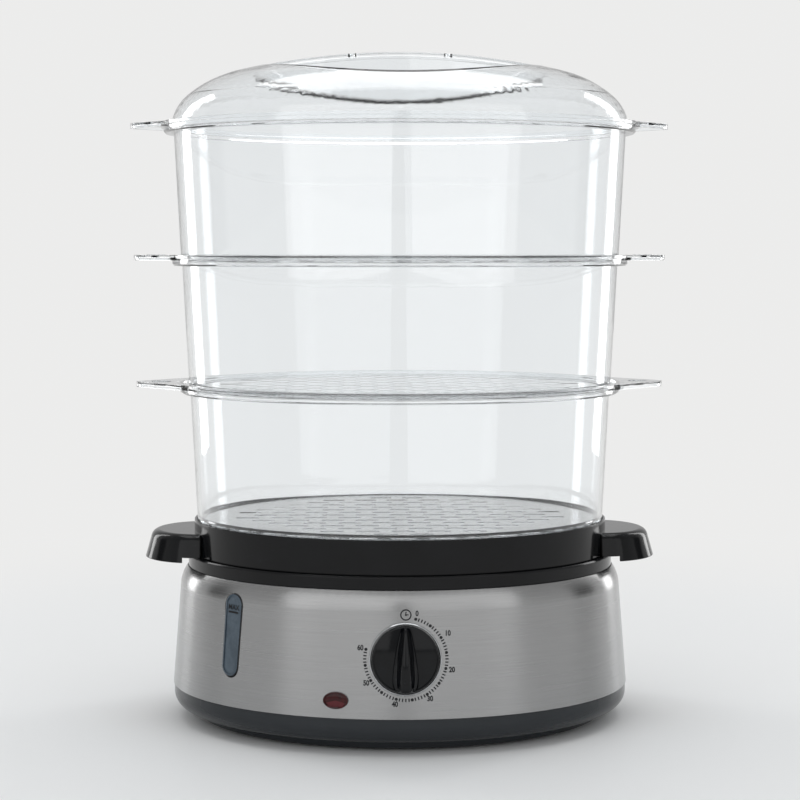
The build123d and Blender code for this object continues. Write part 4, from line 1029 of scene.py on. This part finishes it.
screw_brass, tree, shader = new_material("screw_brass")
shader.inputs["Metallic"].default_value = 1
finish_surface(
    tree, shader, tones=((0.62, 0.44, 0.16), (0.76, 0.58, 0.26)), tone_scale=600,
    rough=(0.25, 0.35), grain_scale=4000, grain_depth=0.00002,
)
terminal_middle = Vector((-0.042, 0.06, 0.0184))
pole_spacing = 0.011
screw_row_spacing = 0.008
terminal_screw_places = [
    Matrix.Translation(
        terminal_middle + Vector((pole * pole_spacing, row * screw_row_spacing / 2, 0))
    )
    for pole in (-1, 0, 1)
    for row in (-1, 1)
]
terminal_screw = pan_screw(
    head_radius=0.0018, head_height=0.0008, thread_radius=0.0014, shank_length=0.0015, recess="slot"
)
terminal_screws = copies_at(terminal_screw, terminal_screw_places, "terminal_screws_brass")
terminal_screws.data.materials.append(screw_brass)
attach(terminal_screws, "base")
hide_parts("terminal_screws")


# ---------------------------------------------------------------- steam ring
# A loose ring moulded in grey polypropylene, matt and a little clouded by hot water. It stands
# on the tank's floor round the heater and lifts out.
ring_plastic, tree, shader = new_material("ring_plastic")
shader.inputs["Subsurface Weight"].default_value = 0.12
relief = finish_surface(
    tree, shader, tones=((0.53, 0.54, 0.55), (0.57, 0.58, 0.59)), tone_scale=60,
    rough=(0.35, 0.45), grain_scale=1800, grain_depth=0.00001,
)
soften_edges(tree, relief, 0.0006)
dress(ring_plastic, "steam_ring")


# ---------------------------------------------------------------- drip tray
# One deep gloss black moulding that stands on the rim: gutter, steam chimney and two handles
# with round edges, each hollow underneath for the fingers.
tray_black, tree, shader = new_material("tray_black")
shader.inputs["Specular IOR Level"].default_value = 0.22
relief = finish_surface(
    tree, shader, tones=((0.003, 0.0032, 0.0036), (0.0045, 0.0048, 0.0056)), tone_scale=40,
    rough=(0.08, 0.13), grain_scale=120, grain_depth=0.00005,
)
soften_edges(tree, relief, 0.0008)
dress(tray_black, "drip_tray")


# ---------------------------------------------------------------- baskets
# Three clear SAN baskets, glossy with slight flow waves from moulding. Each ear carries its
# tier's number in a raised oval, so that the baskets are stacked in the right order.
clear_plastic, tree, shader = new_material("clear_plastic")
shader.inputs["Base Color"].default_value = (0.965, 0.98, 0.99, 1)
shader.inputs["Transmission Weight"].default_value = 1
shader.inputs["IOR"].default_value = 1.52
flow = add_node(tree, "TexNoise", Scale=1.0, Detail=2.0)
tree.links.new(own_coordinates(tree, (26, 26, 60)), flow.inputs["Vector"])
scuff = add_node(tree, "TexNoise", Scale=700.0, Detail=5.0, Roughness=0.7)
tree.links.new(own_coordinates(tree), scuff.inputs["Vector"])
spread_gloss(tree, shader, scuff.outputs["Fac"], (0.015, 0.09), starts=0.55, ends=0.8)
waves = add_node(tree, "Bump", Strength=0.1, Distance=0.00025)
tree.links.new(flow.outputs["Fac"], waves.inputs["Height"])
tree.links.new(waves.outputs["Normal"], shader.inputs["Normal"])
soften_edges(tree, waves, 0.0007)
let_light_by = add_node(tree, "BsdfTransparent", Color=(0.88, 0.9, 0.915, 1))
ray = tree.nodes.new("ShaderNodeLightPath")
shadow_or_not = tree.nodes.new("ShaderNodeMixShader")
tree.links.new(ray.outputs["Is Shadow Ray"], shadow_or_not.inputs["Fac"])
tree.links.new(shader.outputs["BSDF"], shadow_or_not.inputs[1])
tree.links.new(let_light_by.outputs["BSDF"], shadow_or_not.inputs[2])
tree.links.new(shadow_or_not.outputs["Shader"], tree.nodes["Material Output"].inputs["Surface"])
dress(clear_plastic, "basket_1", "basket_2", "basket_3")

tier_oval_radius = 0.0042
tier_oval_bead = 0.0003
tier_oval_stretch = (1.25, 1, 0.9)
tier_numeral_size = 0.0066
tier_numeral_sunk = 0.0002
tier_numeral_rise = 0.0004
tier_numeral_round = 0.0001
# each basket's ears: how far out the oval stands, and the height of the ear's top
ear_ovals = {"basket_1": (0.1412, 0.1981), "basket_2": (0.1438, 0.2726), "basket_3": (0.1468, 0.3494)}
for tier, (basket, (out, ear_top)) in enumerate(ear_ovals.items(), start=1):
    raised = []
    for side in (-1, 1):
        bpy.ops.mesh.primitive_torus_add(
            major_segments=48,
            minor_segments=8,
            major_radius=tier_oval_radius,
            minor_radius=tier_oval_bead,
            location=(side * out, 0, ear_top),
        )
        oval = bpy.context.object
        oval.scale = tier_oval_stretch
        keep_place(oval)
        raised.append(oval)
        bpy.ops.object.text_add(
            location=(side * out, 0, ear_top - tier_numeral_sunk),
            rotation=(0, 0, side * math.pi / 2),
        )
        numeral = bpy.context.object
        numeral.data.body = str(tier)
        numeral.data.size = tier_numeral_size
        numeral.data.align_x = "CENTER"
        numeral.data.align_y = "CENTER"
        numeral.data.extrude = tier_numeral_rise
        numeral.data.bevel_depth = tier_numeral_round
        bpy.ops.object.convert(target="MESH")
        keep_place(bpy.context.object)
        raised.append(bpy.context.object)
    tier_mark = join_all(raised, basket + "_tier_marks")
    tier_mark.data.materials.append(clear_plastic)
    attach(tier_mark, basket)


# ---------------------------------------------------------------- lid
# A low dome moulded in the same clear plastic as the baskets, with two scoops that leave a
# bridge to hold. It rests loose in the top basket's collar.
dress(clear_plastic, "lid")
